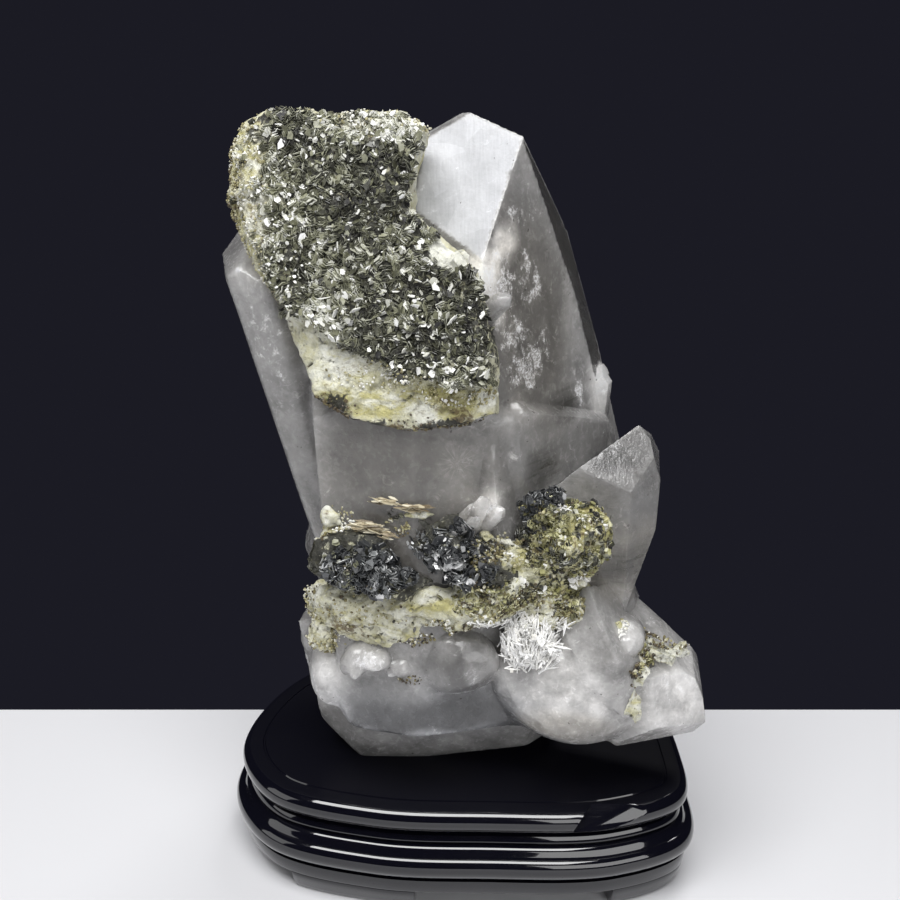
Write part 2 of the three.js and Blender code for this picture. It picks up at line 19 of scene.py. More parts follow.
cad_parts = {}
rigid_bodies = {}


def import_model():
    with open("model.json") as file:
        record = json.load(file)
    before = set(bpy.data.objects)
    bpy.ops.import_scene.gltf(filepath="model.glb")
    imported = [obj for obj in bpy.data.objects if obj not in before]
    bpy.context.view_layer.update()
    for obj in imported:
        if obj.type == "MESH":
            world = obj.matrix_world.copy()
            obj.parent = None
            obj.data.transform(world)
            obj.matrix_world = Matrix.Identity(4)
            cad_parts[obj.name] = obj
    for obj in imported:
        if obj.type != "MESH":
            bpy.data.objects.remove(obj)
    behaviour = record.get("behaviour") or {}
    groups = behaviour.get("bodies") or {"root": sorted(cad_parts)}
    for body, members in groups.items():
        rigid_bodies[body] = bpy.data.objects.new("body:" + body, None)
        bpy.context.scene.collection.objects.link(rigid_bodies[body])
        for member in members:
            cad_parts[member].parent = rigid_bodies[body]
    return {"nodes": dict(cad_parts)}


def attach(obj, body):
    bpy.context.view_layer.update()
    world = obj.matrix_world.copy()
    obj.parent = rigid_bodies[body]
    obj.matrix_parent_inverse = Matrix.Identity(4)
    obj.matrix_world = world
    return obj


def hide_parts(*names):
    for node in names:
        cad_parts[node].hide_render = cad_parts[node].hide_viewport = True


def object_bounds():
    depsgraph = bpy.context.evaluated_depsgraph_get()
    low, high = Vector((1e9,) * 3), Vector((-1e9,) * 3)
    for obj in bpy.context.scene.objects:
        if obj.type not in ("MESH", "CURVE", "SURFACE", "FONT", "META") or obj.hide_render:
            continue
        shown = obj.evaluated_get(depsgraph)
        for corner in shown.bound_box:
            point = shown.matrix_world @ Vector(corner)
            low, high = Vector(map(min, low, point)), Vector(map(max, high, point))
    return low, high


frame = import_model()
CAD_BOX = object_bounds()

Chance = np.random.Generator
Colour = tuple[float, float, float]
Socket = bpy.types.NodeSocket
Thing = bpy.types.Object
Triple = tuple[float, float, float]

LOG = logging.getLogger("quartz")
MM = 0.001
# Where the mark on the table, from which places are measured in millimetres, lies in the frame.
MARK = np.array([1.42, -0.83, 0.0])


def place(x: float, y: float, z: float) -> np.ndarray:
    """Return the point in the frame, in metres, that is measured from the mark in millimetres."""
    return (np.array([x, y, z]) + MARK) * MM


def facing(bearing: float, rise: float) -> np.ndarray:
    """Return the direction with a bearing from the display side towards +X and a rise.

    Args:
        bearing: Its turn in plan, in degrees.
        rise: Its angle above level, in degrees.

    Returns:
        The direction, at length one.
    """
    b = math.radians(bearing)
    r = math.radians(rise)
    return np.array([math.sin(b) * math.cos(r), -math.cos(b) * math.cos(r), math.sin(r)])


def unit(vectors: np.ndarray) -> np.ndarray:
    """Return the vectors at length one."""
    return vectors / np.maximum(np.linalg.norm(vectors, axis=-1, keepdims=True), 1e-12)


def smoothstep(value: np.ndarray, low: float, high: float) -> np.ndarray:
    """Return 0 below low and 1 above high, with a smooth rise between."""
    t = np.clip((value - low) / (high - low), 0.0, 1.0)
    return t * t * (3 - 2 * t)


def lattice_noise(points: np.ndarray, size: float, seed: int) -> np.ndarray:
    """Return smooth noise between -1 and 1 at the points.

    Args:
        points: Places in metres, one a row.
        size: Width of one bump, in metres.
        seed: Which noise.

    Returns:
        One value a point.
    """
    scaled = points / size + seed * 7.31
    cell = np.floor(scaled)
    part = scaled - cell
    part = part * part * (3 - 2 * part)
    total = np.zeros(len(points))
    for corner in range(8):
        step = np.array([corner & 1, corner >> 1 & 1, corner >> 2])
        wave = np.sin((cell + step) @ np.array([127.1, 311.7, 74.7]) + seed * 53.3) * 43758.5453
        weight = np.where(step, part, 1 - part).prod(axis=1)
        total += weight * (2 * (wave - np.floor(wave)) - 1)
    return total


def rough_noise(points: np.ndarray, size: float, seed: int, octaves: int = 4) -> np.ndarray:
    """Return noise with finer and finer bumps, each octave half as wide and high as the last."""
    return sum(lattice_noise(points, size / 2**k, seed + k) / 2**k for k in range(octaves))


class Grid(Enum):
    """How a solid is covered with an even grid."""

    SHARP = "SHARP"
    ROUND = "VOXEL"


@dataclass
class Skin:
    """A mesh held as an object, whose corners are moved and painted through arrays."""

    thing: Thing

    @property
    def mesh(self) -> bpy.types.Mesh:
        """Return the mesh."""
        return self.thing.data

    @staticmethod
    def _rows(items: Any, name: str, width: int, kind: type = float) -> np.ndarray:
        """Return what the mesh's items hold under a name, one item a row."""
        flat = np.empty(len(items) * width, dtype=kind)
        items.foreach_get(name, flat)
        return flat.reshape(-1, width)

    def places(self) -> np.ndarray:
        """Return the corners' places, one a row."""
        return self._rows(self.mesh.vertices, "co", 3)

    def normals(self) -> np.ndarray:
        """Return the corners' outward directions, one a row."""
        self.mesh.update()
        return self._rows(self.mesh.vertices, "normal", 3)

    def edges(self) -> np.ndarray:
        """Return the two corners of each edge, one edge a row."""
        return self._rows(self.mesh.edges, "vertices", 2, np.int64)

    def move_to(self, places: np.ndarray) -> None:
        """Move the corners to new places."""
        self.mesh.vertices.foreach_set("co", places.ravel())
        self.mesh.update()

    def push(self, amount: np.ndarray) -> None:
        """Move each corner along its outward direction by an amount in metres."""
        self.move_to(self.places() + self.normals() * amount[:, None])

    def spread(self, values: np.ndarray, weight: np.ndarray, rounds: int) -> np.ndarray:
        """Return values evened out between neighbouring corners.

        Args:
            values: One row a corner.
            weight: How much of its neighbours' mean a corner takes in each round, from 0 to 1.
            rounds: How many times.

        Returns:
            The new values.
        """
        edges = self.edges()
        count = np.bincount(edges.ravel(), minlength=len(values)).astype(float)
        count = np.maximum(count, 1)[:, None]
        out = values.copy()
        for _ in range(rounds):
            total = np.zeros_like(out)
            for axis in range(out.shape[1]):
                total[:, axis] = np.bincount(
                    edges[:, 0], weights=out[edges[:, 1], axis], minlength=len(out)
                ) + np.bincount(edges[:, 1], weights=out[edges[:, 0], axis], minlength=len(out))
            out += weight[:, None] * (total / count - out)
        return out

    def smooth(self, weight: np.ndarray, rounds: int) -> None:
        """Round the surface off where the weight is high."""
        self.move_to(self.spread(self.places(), weight, rounds))

    def bends(self) -> np.ndarray:
        """Return 0 on flat stretches and up to 1 on outward edges, one value a corner."""
        edges = self.edges()
        places = self.places()
        normals = self.normals()
        along = unit(places[edges[:, 1]] - places[edges[:, 0]])
        turn = ((normals[edges[:, 1]] - normals[edges[:, 0]]) * along).sum(axis=1)
        total = np.bincount(edges.ravel(), weights=np.repeat(turn, 2), minlength=len(places))
        count = np.maximum(np.bincount(edges.ravel(), minlength=len(places)), 1)
        return np.clip(total / count * 3.0, 0.0, 1.0)

    def paint(self, name: str, values: np.ndarray, domain: str = "POINT") -> None:
        """Store a number at each corner, or at each face where the domain is FACE, for the shader."""
        made = self.mesh.attributes.new(name, "FLOAT", domain)
        made.data.foreach_set("value", values.astype(np.float32))

    def shade(self, angle: float) -> None:
        """Shade smooth, with edges sharper than the angle in degrees left sharp."""
        self.mesh.shade_smooth()
        self.mesh.set_sharp_from_angle(angle=math.radians(angle))


def mesh_of(shape: bmesh.types.BMesh, name: str) -> bpy.types.Mesh:
    """Return the shape as a new mesh and free it."""
    mesh = bpy.data.meshes.new(name)
    shape.to_mesh(mesh)
    shape.free()
    return mesh


def linked(name: str, data: Any) -> Thing:
    """Return a new object in the scene that holds the data."""
    thing = bpy.data.objects.new(name, data)
    bpy.context.scene.collection.objects.link(thing)
    return thing


def mesh_object(name: str, places: np.ndarray, faces: Sequence[Sequence[int]]) -> Thing:
    """Return a new object with the mesh that the places and faces give."""
    mesh = bpy.data.meshes.new(name)
    mesh.from_pydata(places.tolist(), [], faces)
    mesh.update()
    return linked(name, mesh)


def apply_modifiers(thing: Thing) -> None:
    """Make the object's modifiers part of its mesh."""
    graph = bpy.context.evaluated_depsgraph_get()
    made = bpy.data.meshes.new_from_object(thing.evaluated_get(graph))
    thing.modifiers.clear()
    thing.data = made


def covered(source: Thing, name: str, grid: Grid, size: float) -> Skin:
    """Return a new piece with a solid's form and an even grid.

    Args:
        source: The object with the form.
        name: The new piece's name.
        grid: Whether edges stay sharp.
        size: Width of a grid cell, in metres.

    Returns:
        The new piece.
    """
    mesh = source.data.copy()
    mesh.materials.clear()
    thing = linked(name, mesh)
    remesh = thing.modifiers.new("grid", "REMESH")
    remesh.mode = grid.value
    remesh.voxel_size = size
    if grid is Grid.SHARP:
        corners = np.array([v.co for v in mesh.vertices])
        cells = np.ptp(corners, axis=0).max() / size
        remesh.octree_depth = math.ceil(math.log2(cells / 0.95))
        remesh.scale = cells / 2**remesh.octree_depth
    apply_modifiers(thing)
    return Skin(thing)


class Wire:
    """A socket of a shader that adds Math nodes where it is used in arithmetic."""

    def __init__(self, shader: "Shader", socket: Socket) -> None:
        """Keep the shader and the socket."""
        self.shader = shader
        self.socket = socket

    def _math(self, operation: str, *values: Any, clamp: bool = False) -> "Wire":
        """Return the result of a Math node on the values, of which this wire may be one."""
        settings = {"operation": operation, "use_clamp": clamp}
        made = self.shader.node("ShaderNodeMath", settings, dict(enumerate(values)))
        return Wire(self.shader, made.outputs[0])

    def __add__(self, other: Any) -> "Wire":
        """Return the sum."""
        return self._math("ADD", self, other)

    __radd__ = __add__

    def __sub__(self, other: Any) -> "Wire":
        """Return the difference."""
        return self._math("SUBTRACT", self, other)

    def __rsub__(self, other: Any) -> "Wire":
        """Return the difference from a number."""
        return self._math("SUBTRACT", other, self)

    def __mul__(self, other: Any) -> "Wire":
        """Return the product."""
        return self._math("MULTIPLY", self, other)

    __rmul__ = __mul__

    def most(self, other: Any) -> "Wire":
        """Return the larger of the two."""
        return self._math("MAXIMUM", self, other)

    def clamped(self) -> "Wire":
        """Return the value held between 0 and 1."""
        return self._math("ADD", self, 0.0, clamp=True)

    def step(self, low: float, high: float) -> "Wire":
        """Return 0 below low and 1 above high, with a smooth rise between."""
        made = self.shader.node(
            "ShaderNodeMapRange",
            {"interpolation_type": "SMOOTHSTEP"},
            {"Value": self, "From Min": low, "From Max": high},
        )
        return Wire(self.shader, made.outputs[0])


class Shader:
    """A material under construction."""

    def __init__(self, name: str) -> None:
        """Start an empty material."""
        self.material = bpy.data.materials.new(name)
        self.material.use_nodes = True
        self.tree = self.material.node_tree
        self.tree.nodes.clear()
        self.space = self.node("ShaderNodeTexCoord").outputs["Object"]

    def node(
        self, kind: str, settings: dict[str, Any] | None = None, inputs: dict[Any, Any] | None = None
    ) -> bpy.types.Node:
        """Return a new node.

        Args:
            kind: Its type.
            settings: Its settings, set first; "stops" gives a ramp's places and colours.
            inputs: Values, wires or sockets for its inputs, by name or number.

        Returns:
            The node.
        """
        made = self.tree.nodes.new(kind)
        for key, value in (settings or {}).items():
            if key == "stops":
                self._set_stops(made.color_ramp, value)
            else:
                setattr(made, key, value)
        for key, value in (inputs or {}).items():
            socket = made.inputs[key]
            if isinstance(value, Wire):
                self.tree.links.new(value.socket, socket)
            elif isinstance(value, Socket):
                self.tree.links.new(value, socket)
            else:
                socket.default_value = value
        return made

    @staticmethod
    def _set_stops(ramp: bpy.types.ColorRamp, stops: Sequence[tuple[float, Colour]]) -> None:
        """Give a ramp its stops."""
        while len(ramp.elements) < len(stops):
            ramp.elements.new(1.0)
        for element, (spot, colour) in zip(ramp.elements, stops):
            element.position = spot
            element.color = (*colour, 1.0)

    def painted(self, name: str) -> Wire:
        """Return the number that the mesh stores at each corner."""
        made = self.node("ShaderNodeAttribute", {"attribute_name": name})
        return Wire(self, made.outputs["Fac"])

    def stretched(self, scale: Sequence[float], turn: Sequence[float] = (0, 0, 0)) -> Socket:
        """Return the object's space turned and stretched."""
        made = self.node(
            "ShaderNodeMapping",
            {"vector_type": "POINT"},
            {"Vector": self.space, "Scale": tuple(scale), "Rotation": tuple(map(math.radians, turn))},
        )
        return made.outputs[0]

    def clouds(
        self,
        size: float,
        detail: float = 3.0,
        space: Socket | None = None,
        warp: float = 0.0,
        harsh: float = 0.5,
    ) -> Wire:
        """Return noise from 0 to 1 whose patches are about size metres wide.

        Args:
            size: Width of a patch, in metres.
            detail: How many times finer noise is added.
            space: The space it lies in, the object's own if none is given.
            warp: How far it is bent by itself.
            harsh: How strong the finer noise is, from 0 to 1.

        Returns:
            The noise.
        """
        made = self.node(
            "ShaderNodeTexNoise",
            {"noise_dimensions": "3D"},
            {
                "Vector": space or self.space,
                "Scale": 1 / size,
                "Detail": detail,
                "Roughness": harsh,
                "Distortion": warp,
            },
        )
        return Wire(self, made.outputs[0])

    def bent(self, size: float, reach: float) -> Socket:
        """Return the object's space bent by noise.

        Args:
            size: Width of a bend, in metres.
            reach: How far a place moves at most, in metres.

        Returns:
            The bent space.
        """
        noise = self.node("ShaderNodeTexNoise", {}, {"Vector": self.space, "Scale": 1 / size, "Detail": 2.0})
        push = (2 * reach, 2 * reach, 2 * reach)
        made = self.node(
            "ShaderNodeVectorMath",
            {"operation": "MULTIPLY_ADD"},
            {0: noise.outputs["Color"], 1: push, 2: self.space},
        )
        return made.outputs[0]

    def cells(self, size: float, feature: str = "F1", space: Socket | None = None) -> Wire:
        """Return the distance field of cells.

        Args:
            size: Width of a cell, in metres.
            feature: What is measured in a cell.
            space: The space they lie in, the object's own if none is given.

        Returns:
            The distance.
        """
        made = self.node(
            "ShaderNodeTexVoronoi",
            {"feature": feature},
            {"Vector": space or self.space, "Scale": 1 / size},
        )
        return Wire(self, made.outputs["Distance"])

    def shards(self, size: float, space: Socket | None = None) -> Wire:
        """Return one number from 0 to 1 for each cell.

        Args:
            size: Width of a cell, in metres.
            space: The space they lie in, the object's own if none is given.

        Returns:
            The number.
        """
        inputs = {"Vector": space or self.space, "Scale": 1 / size}
        made = self.node("ShaderNodeTexVoronoi", {"feature": "F1"}, inputs)
        split = self.node("ShaderNodeSeparateColor", {}, {"Color": made.outputs["Color"]})
        return Wire(self, split.outputs[0])

    def mix(self, share: Any, first: Any, second: Any) -> Socket:
        """Return the first colour turned into the second by a share.

        Args:
            share: From 0 to 1.
            first: A colour or its socket.
            second: A colour or its socket.

        Returns:
            The colour.
        """
        made = self.node("ShaderNodeMix", {"data_type": "RGBA"}, {0: share})
        for index, value in ((6, first), (7, second)):
            if isinstance(value, tuple):
                made.inputs[index].default_value = (*value, 1.0)
            else:
                self.tree.links.new(value, made.inputs[index])
        return made.outputs[2]

    def scaled(self, colour: Socket, amount: Wire) -> Socket:
        """Return the colour times an amount."""
        made = self.node("ShaderNodeVectorMath", {"operation": "SCALE"}, {0: colour, "Scale": amount})
        return made.outputs[0]

    def rays(self, stars: Sequence["Rays"]) -> Wire:
        """Return the brightness of the stars of fine rays."""
        total = None
        for star in stars:
            heart = tuple(place(*star.heart))
            away = self.node("ShaderNodeVectorMath", {"operation": "SUBTRACT"}, {0: self.space, 1: heart})
            length = self.node("ShaderNodeVectorMath", {"operation": "LENGTH"}, {0: away.outputs[0]})
            course = self.node("ShaderNodeVectorMath", {"operation": "NORMALIZE"}, {0: away.outputs[0]})
            far = Wire(self, length.outputs["Value"])
            beams = self.clouds(1 / star.fineness, 5.0, course.outputs[0]).step(0.42, 0.8)
            fade = 1 - far.step(star.reach * 0.15 * MM, star.reach * MM)
            light = beams * fade * self.clouds(0.0035, 4.0) * 2.0 * star.strength
            total = light if total is None else total.most(light)
        return total

    def ramp(self, value: Wire, stops: Sequence[tuple[float, Colour]]) -> Socket:
        """Return the colour at a value along the stops."""
        return self.node("ShaderNodeValToRGB", {"stops": stops}, {0: value}).outputs[0]

    def bump(self, height: Wire, depth: float, under: Socket | None = None) -> Socket:
        """Return a normal with bumps over another normal.

        Args:
            height: The bumps' height, from 0 to 1.
            depth: How deep they are, in metres.
            under: The normal that they lie on.

        Returns:
            The normal.
        """
        inputs = {"Height": height, "Distance": depth, "Strength": 1.0}
        if under is not None:
            inputs["Normal"] = under
        return self.node("ShaderNodeBump", {}, inputs).outputs[0]

    def principled(self, **inputs: Any) -> Socket:
        """Return a Principled shader; an input's name has underscores for its spaces."""
        named = {key.replace("_", " "): value for key, value in inputs.items()}
        for key, value in named.items():
            if isinstance(value, tuple) and len(value) == 3 and "Color" in key:
                named[key] = (*value, 1.0)
        return self.node("ShaderNodeBsdfPrincipled", {}, named).outputs[0]

    def finish(self, surface: Socket, volume: Socket | None = None) -> bpy.types.Material:
        """Connect the shaders and return the material.

        Args:
            surface: The surface's shader.
            volume: The inside's shader.

        Returns:
            The material.
        """
        inputs = {"Surface": surface}
        if volume is not None:
            inputs["Volume"] = volume
        self.node("ShaderNodeOutputMaterial", {}, inputs)
        return self.material


@dataclass(frozen=True)
class Rays:
    """A star of fine white rays inside the quartz: its heart in millimetres and its reach."""

    heart: Triple
    reach: float
    fineness: float = 9.0
    strength: float = 0.5


@dataclass(frozen=True)
class QuartzFinish:
    """Quartz between clear and milky, as bright, warm, veiled and streaked as the mesh is painted, its edges
    paler, partly from wear and partly as a painted highlight.
    """

    cool: Colour = (0.955, 0.965, 1.0)
    warm: Colour = (1.0, 0.95, 0.87)
    index: float = 1.544
    absorbed: Colour = (0.62, 0.57, 0.48)
    absorption: float = 14.0
    streak_colour: Colour = (0.05, 0.05, 0.035)
    stars: tuple[Rays, ...] = (
        Rays((-3.5, -37.5, 154.4), 8.0, 9.0, 0.16),
        Rays((-9.0, -39.0, 55.0), 13.0, 11.0, 0.3),
    )

    def made(self) -> bpy.types.Material:
        """Return the material."""
        s = Shader("quartz")
        tone = s.painted("tone")
        warmth = s.painted("warm")
        veil = s.painted("veil")
        streaks = s.painted("streaks")
        edge = s.painted("edge")
        tip = s.painted("tip")
        mist = s.clouds(0.013, 7.0, warp=0.5, harsh=0.52)
        smoke = s.clouds(0.03, 7.0, s.stretched((1.0, 1.0, 0.6), (0, 20, 0)), 1.4, 0.6)
        fine = s.clouds(0.0022, 5.0, warp=0.4, harsh=0.6)
        grain = s.clouds(0.0008, 3.0)
        broad = s.clouds(0.0055, 4.0, warp=0.3)
        curls = 1 - s.cells(0.0012, "DISTANCE_TO_EDGE", s.bent(0.0016, 0.0008)).step(0.03, 0.22)
        torn = curls * s.clouds(0.0009, 4.0).step(0.38, 0.62)
        flecks = torn.most(s.clouds(0.0004, 3.0).step(0.56, 0.66) * 0.8)
        patches = s.clouds(0.0034, 9.0, s.stretched((1.0, 1.0, 0.75), (0, -14, 0)), 0.4, 0.78)
        thick = (veil + (patches - 0.5) * 3.4 + (broad - 0.5) * 1.2).step(0.5, 0.9)
        sparkle = (thick * (0.1 + 0.8 * flecks)).clamped()
        haze = (thick * 0.12 + veil * 0.05).clamped()
        rays = s.rays(self.stars)
        lines = s.clouds(0.0011, 3.0, s.stretched((0.07, 0.07, 1.0), (0, 3, 0))).step(0.47, 0.68)
        dark_lines = (streaks * (0.3 + 0.7 * lines)).clamped()
        etched = s.clouds(0.0006, 3.0, s.stretched((1.0, 0.1, 0.1), (0, 42, 0)))
        plumes = s.clouds(0.005, 9.0, warp=1.2, harsh=0.7).step(0.55, 0.72)
        feathers = plumes * s.clouds(0.012, 3.0).step(0.46, 0.62)
        steps = s.shards(0.013, s.bent(0.02, 0.006)) - 0.5
        soft = (mist - 0.5) * 1.6 + (broad - 0.5) * 0.8 + (smoke - 0.5) * 0.6
        contrast = 1 + (soft + (fine - 0.5) * 0.45 + (grain - 0.5) * 0.3) * (1 - 0.65 * tip)
        level = tone * (contrast + 0.16 * steps)
        level = level + feathers * (0.05 + 0.3 * tone) * (1 - tip)
        # edge lightens the outward edges: partly their wear and partly a painted highlight
        level = (level + tip * (etched - 0.5) * 0.16 + haze + rays + edge * 0.05).most(0.01)
        tint = s.mix(warmth, self.cool, self.warm)
        body = s.scaled(tint, level)
        streaked = s.mix(dark_lines, body, self.streak_colour)
        whole = s.mix(sparkle, streaked, (0.86, 0.86, 0.88))
        specks = s.clouds(0.0016, 1.0).step(0.76, 0.8)
        marked = s.mix((specks * 0.7).clamped(), whole, (0.06, 0.055, 0.05))
        growth = s.clouds(0.0028, 2.0, s.stretched((0.15, 0.15, 1.0)))
        uneven = s.clouds(0.006, 4.0, harsh=0.6)
        ribbed = s.bump(growth, 0.00008, s.bump(etched, 0.00003))
        rough = s.bump(fine, 0.0001, s.bump(uneven, 0.00025, ribbed))
        relief = s.bump(feathers, 0.00008, s.bump(grain, 0.00006, rough))
        milky = s.principled(
            Base_Color=marked,
            Roughness=(0.1 + 0.3 * fine + 0.3 * tip).clamped(),
            IOR=self.index,
            Normal=relief,
            Subsurface_Weight=0.9,
            Subsurface_Radius=(1.0, 1.0, 1.0),
            Subsurface_Scale=0.012,
            Coat_Weight=(0.35 * (1 - tip)).clamped(),
            Coat_Roughness=0.05,
        )
        clear = s.principled(
            Base_Color=(0.97, 0.97, 0.96),
            Roughness=(0.06 + 0.2 * mist).clamped(),
            IOR=self.index,
            Transmission_Weight=1.0,
            Normal=relief,
        )
        share = s.painted("clear") * (0.3 + 1.4 * mist + 0.3 * steps) - sparkle - rays - haze - feathers * 0.5
        surface = s.node("ShaderNodeMixShader", {}, {0: share.clamped(), 1: milky, 2: clear}).outputs[0]
        volume = s.node(
            "ShaderNodeVolumeAbsorption", {}, {"Color": (*self.absorbed, 1.0), "Density": self.absorption}
        ).outputs[0]
        return s.finish(surface, volume)


@dataclass(frozen=True)
class FeldsparFinish:
    """Feldspar that turns white, mossy, brown or dark by the amounts painted on the mesh, and darker in its
    hollows and cracks as painted shade.
    """

    name: str
    cream: Colour = (0.6, 0.585, 0.42)
    white: Colour = (0.78, 0.78, 0.69)
    moss: Colour = (0.5, 0.46, 0.17)
    brown: Colour = (0.13, 0.085, 0.032)
    dark: Colour = (0.015, 0.015, 0.013)

    def made(self) -> bpy.types.Material:
        """Return the material."""
        s = Shader(self.name)
        blotch = s.clouds(0.008, 8.0, warp=0.8, harsh=0.62)
        patch = s.clouds(0.0042, 7.0, warp=1.2, harsh=0.65)
        fine = s.clouds(0.0012, 5.0, harsh=0.6)
        pits = s.cells(0.0014)
        bands = s.clouds(0.004, 6.0, s.stretched((0.45, 1.0, 1.0), (0, -36, 0)), 0.8, 0.65)
        white = (s.painted("white") + (blotch - 0.5) * 2.2).step(0.2, 0.9)
        moss = (s.painted("moss") + (bands - 0.5) * 3.4).step(0.25, 1.05)
        brown = (s.painted("brown") + (s.clouds(0.003, 5.0, warp=1.6) - 0.5) * 2.4).step(0.4, 0.95)
        dark = (s.painted("dark") + (s.clouds(0.0022, 5.0, warp=1.0) - 0.5) * 2.4).step(0.4, 0.8)
        base = s.mix(white, self.cream, self.white)
        mossy = s.mix((moss * 0.85).clamped(), base, self.moss)
        browned = s.mix((brown * 0.85).clamped(), mossy, self.brown)
        speckled = s.mix((fine.step(0.57, 0.7) * 0.38).clamped(), browned, self.dark)
        darkened = s.mix((dark * 0.95).clamped(), speckled, self.dark)
        # Painted shade: the rock's hollows and cracks are painted dark
        whole = s.mix((s.painted("hollow") * 0.9).clamped(), darkened, self.dark)
        relief = s.bump(pits, 0.00018, s.bump(fine, 0.0005, s.bump(patch, 0.0009)))
        stone = s.principled(
            Base_Color=whole,
            Roughness=(0.35 + 0.4 * patch).clamped(),
            Normal=relief,
            Subsurface_Weight=0.25,
            Subsurface_Radius=(1.0, 1.0, 0.9),
            Subsurface_Scale=0.0015,
            Coat_Weight=0.12,
            Coat_Roughness=0.3,
        )
        return s.finish(stone)


class Mineral(Enum):
    """The minerals that lie on the quartz as flakes, strips, needles or grains."""

    DARK = "dark_mica"
    SLATE = "slate_mica"
    GOLD = "gold_mica"
    TAN = "tan_mica"
    ALBITE = "albite"
    GRIT = "grit"


@dataclass(frozen=True)
class MineralFinish:
    """A mineral whose pieces each have a tone, with paler rims: a painted highlight along their edges."""

    mineral: Mineral
    slot: str
    stops: tuple[tuple[float, Colour], ...]
    rim: Colour
    rim_highlight_share: float = 0.6
    roughness: float = 0.25
    metallic: float = 0.2
    coat: float = 0.5

    def made(self) -> bpy.types.Material:
        """Return the material."""
        s = Shader(self.mineral.value)
        streaks = s.clouds(0.0006, 3.0)
        patch = s.clouds(0.0016, 2.0)
        tone = (s.painted("tone") + (patch - 0.5) * 0.25).clamped()
        face = s.ramp(tone, self.stops)
        # Paler rims on the pieces' side faces: a painted highlight along their edges
        rimmed = s.mix((s.painted("rim") * self.rim_highlight_share * (0.2 + 1.3 * tone)).clamped(), face, self.rim)
        whole = s.mix((streaks.step(0.5, 0.8) * 0.22).clamped(), rimmed, self.rim)
        piece = s.principled(
            Base_Color=whole,
            Roughness=(self.roughness + 0.3 * streaks).clamped(),
            Metallic=self.metallic,
            Coat_Weight=self.coat,
            Coat_Roughness=0.12,
            Normal=s.bump(streaks, 0.00006),
        )
        return s.finish(piece)


FINISHES = {
    Mineral.DARK: MineralFinish(
        Mineral.DARK,
        "mica",
        (
            (0.0, (0.009, 0.008, 0.009)),
            (0.25, (0.036, 0.036, 0.023)),
            (0.45, (0.12, 0.121, 0.073)),
            (0.65, (0.3, 0.302, 0.205)),
            (0.85, (0.68, 0.68, 0.62)),
            (1.0, (0.96, 0.96, 0.95)),
        ),
        (0.53, 0.535, 0.42),
        rim_highlight_share=0.36,
        metallic=0.0,
        coat=0.3,
    ),
    Mineral.SLATE: MineralFinish(
        Mineral.SLATE,
        "mica",
        (
            (0.0, (0.007, 0.008, 0.01)),
            (0.3, (0.028, 0.03, 0.034)),
            (0.55, (0.085, 0.09, 0.095)),
            (0.8, (0.3, 0.31, 0.31)),
            (1.0, (0.92, 0.92, 0.92)),
        ),
        (0.34, 0.35, 0.34),
        rim_highlight_share=0.3,
        roughness=0.2,
        metallic=0.25,
    ),
    Mineral.GOLD: MineralFinish(
        Mineral.GOLD,
        "gold_mica",
        (
            (0.0, (0.012, 0.011, 0.006)),
            (0.25, (0.055, 0.052, 0.018)),
            (0.5, (0.22, 0.21, 0.07)),
            (0.75, (0.56, 0.55, 0.28)),
            (1.0, (0.88, 0.87, 0.78)),
        ),
        (0.6, 0.58, 0.36),
        metallic=0.1,
    ),
    Mineral.TAN: MineralFinish(
        Mineral.TAN,
        "gold_mica",
        (
            (0.0, (0.04, 0.026, 0.012)),
            (0.4, (0.2, 0.15, 0.08)),
            (0.75, (0.5, 0.44, 0.3)),
            (1.0, (0.8, 0.76, 0.62)),
        ),
        (0.7, 0.65, 0.48),
        roughness=0.4,
        metallic=0.0,
        coat=0.2,
    ),
    Mineral.ALBITE: MineralFinish(
        Mineral.ALBITE,
        "albite",
        ((0.0, (0.5, 0.46, 0.34)), (0.35, (0.78, 0.76, 0.7)), (1.0, (0.93, 0.93, 0.92))),
        (0.9, 0.9, 0.9),
        rim_highlight_share=0.3,
        roughness=0.35,
        metallic=0.0,
        coat=0.3,
    ),
    Mineral.GRIT: MineralFinish(
        Mineral.GRIT,
        "feldspar",
        (
            (0.0, (0.012, 0.01, 0.008)),
            (0.25, (0.075, 0.052, 0.026)),
            (0.5, (0.2, 0.175, 0.075)),
            (0.72, (0.4, 0.37, 0.2)),
            (0.88, (0.62, 0.6, 0.5)),
            (1.0, (0.82, 0.82, 0.79)),
        ),
        (0.6, 0.56, 0.4),
        rim_highlight_share=0.2,
        roughness=0.4,
        metallic=0.0,
        coat=0.25,
    ),
}


@dataclass(frozen=True)
class LacquerFinish:
    """Gloss black lacquer over carved wood, with a faint orange peel, dust and rubbed patches of wear."""

    name: str = "lacquer"
    colour: Colour = (0.003, 0.003, 0.006)
    worn: Colour = (0.02, 0.018, 0.02)

    def made(self) -> bpy.types.Material:
        """Return the material."""
        s = Shader(self.name)
        flat = s.painted("flat")
        peel = s.clouds(0.006, 2.0)
        brush = s.clouds(0.0012, 2.0, s.stretched((0.06, 0.06, 1.0)))
        dust = s.clouds(0.0007, 2.0).step(0.7, 0.76)
        rubbed = s.clouds(0.02, 3.0).step(0.55, 0.8)
        colour = s.mix((dust * 0.25 + rubbed * 0.12).clamped(), self.colour, self.worn)
        paint = s.principled(
            Base_Color=colour,
            Roughness=(0.06 + 0.1 * s.clouds(0.013, 4.0) + 0.3 * dust + 0.4 * flat).clamped(),
            Specular_IOR_Level=0.12,
            Coat_IOR=1.7,
            Coat_Weight=(0.9 - 0.84 * flat).clamped(),
            Coat_Roughness=0.03,
            Normal=s.bump(brush, 0.00003, s.bump(peel, 0.00009)),
        )
        return s.finish(paint)


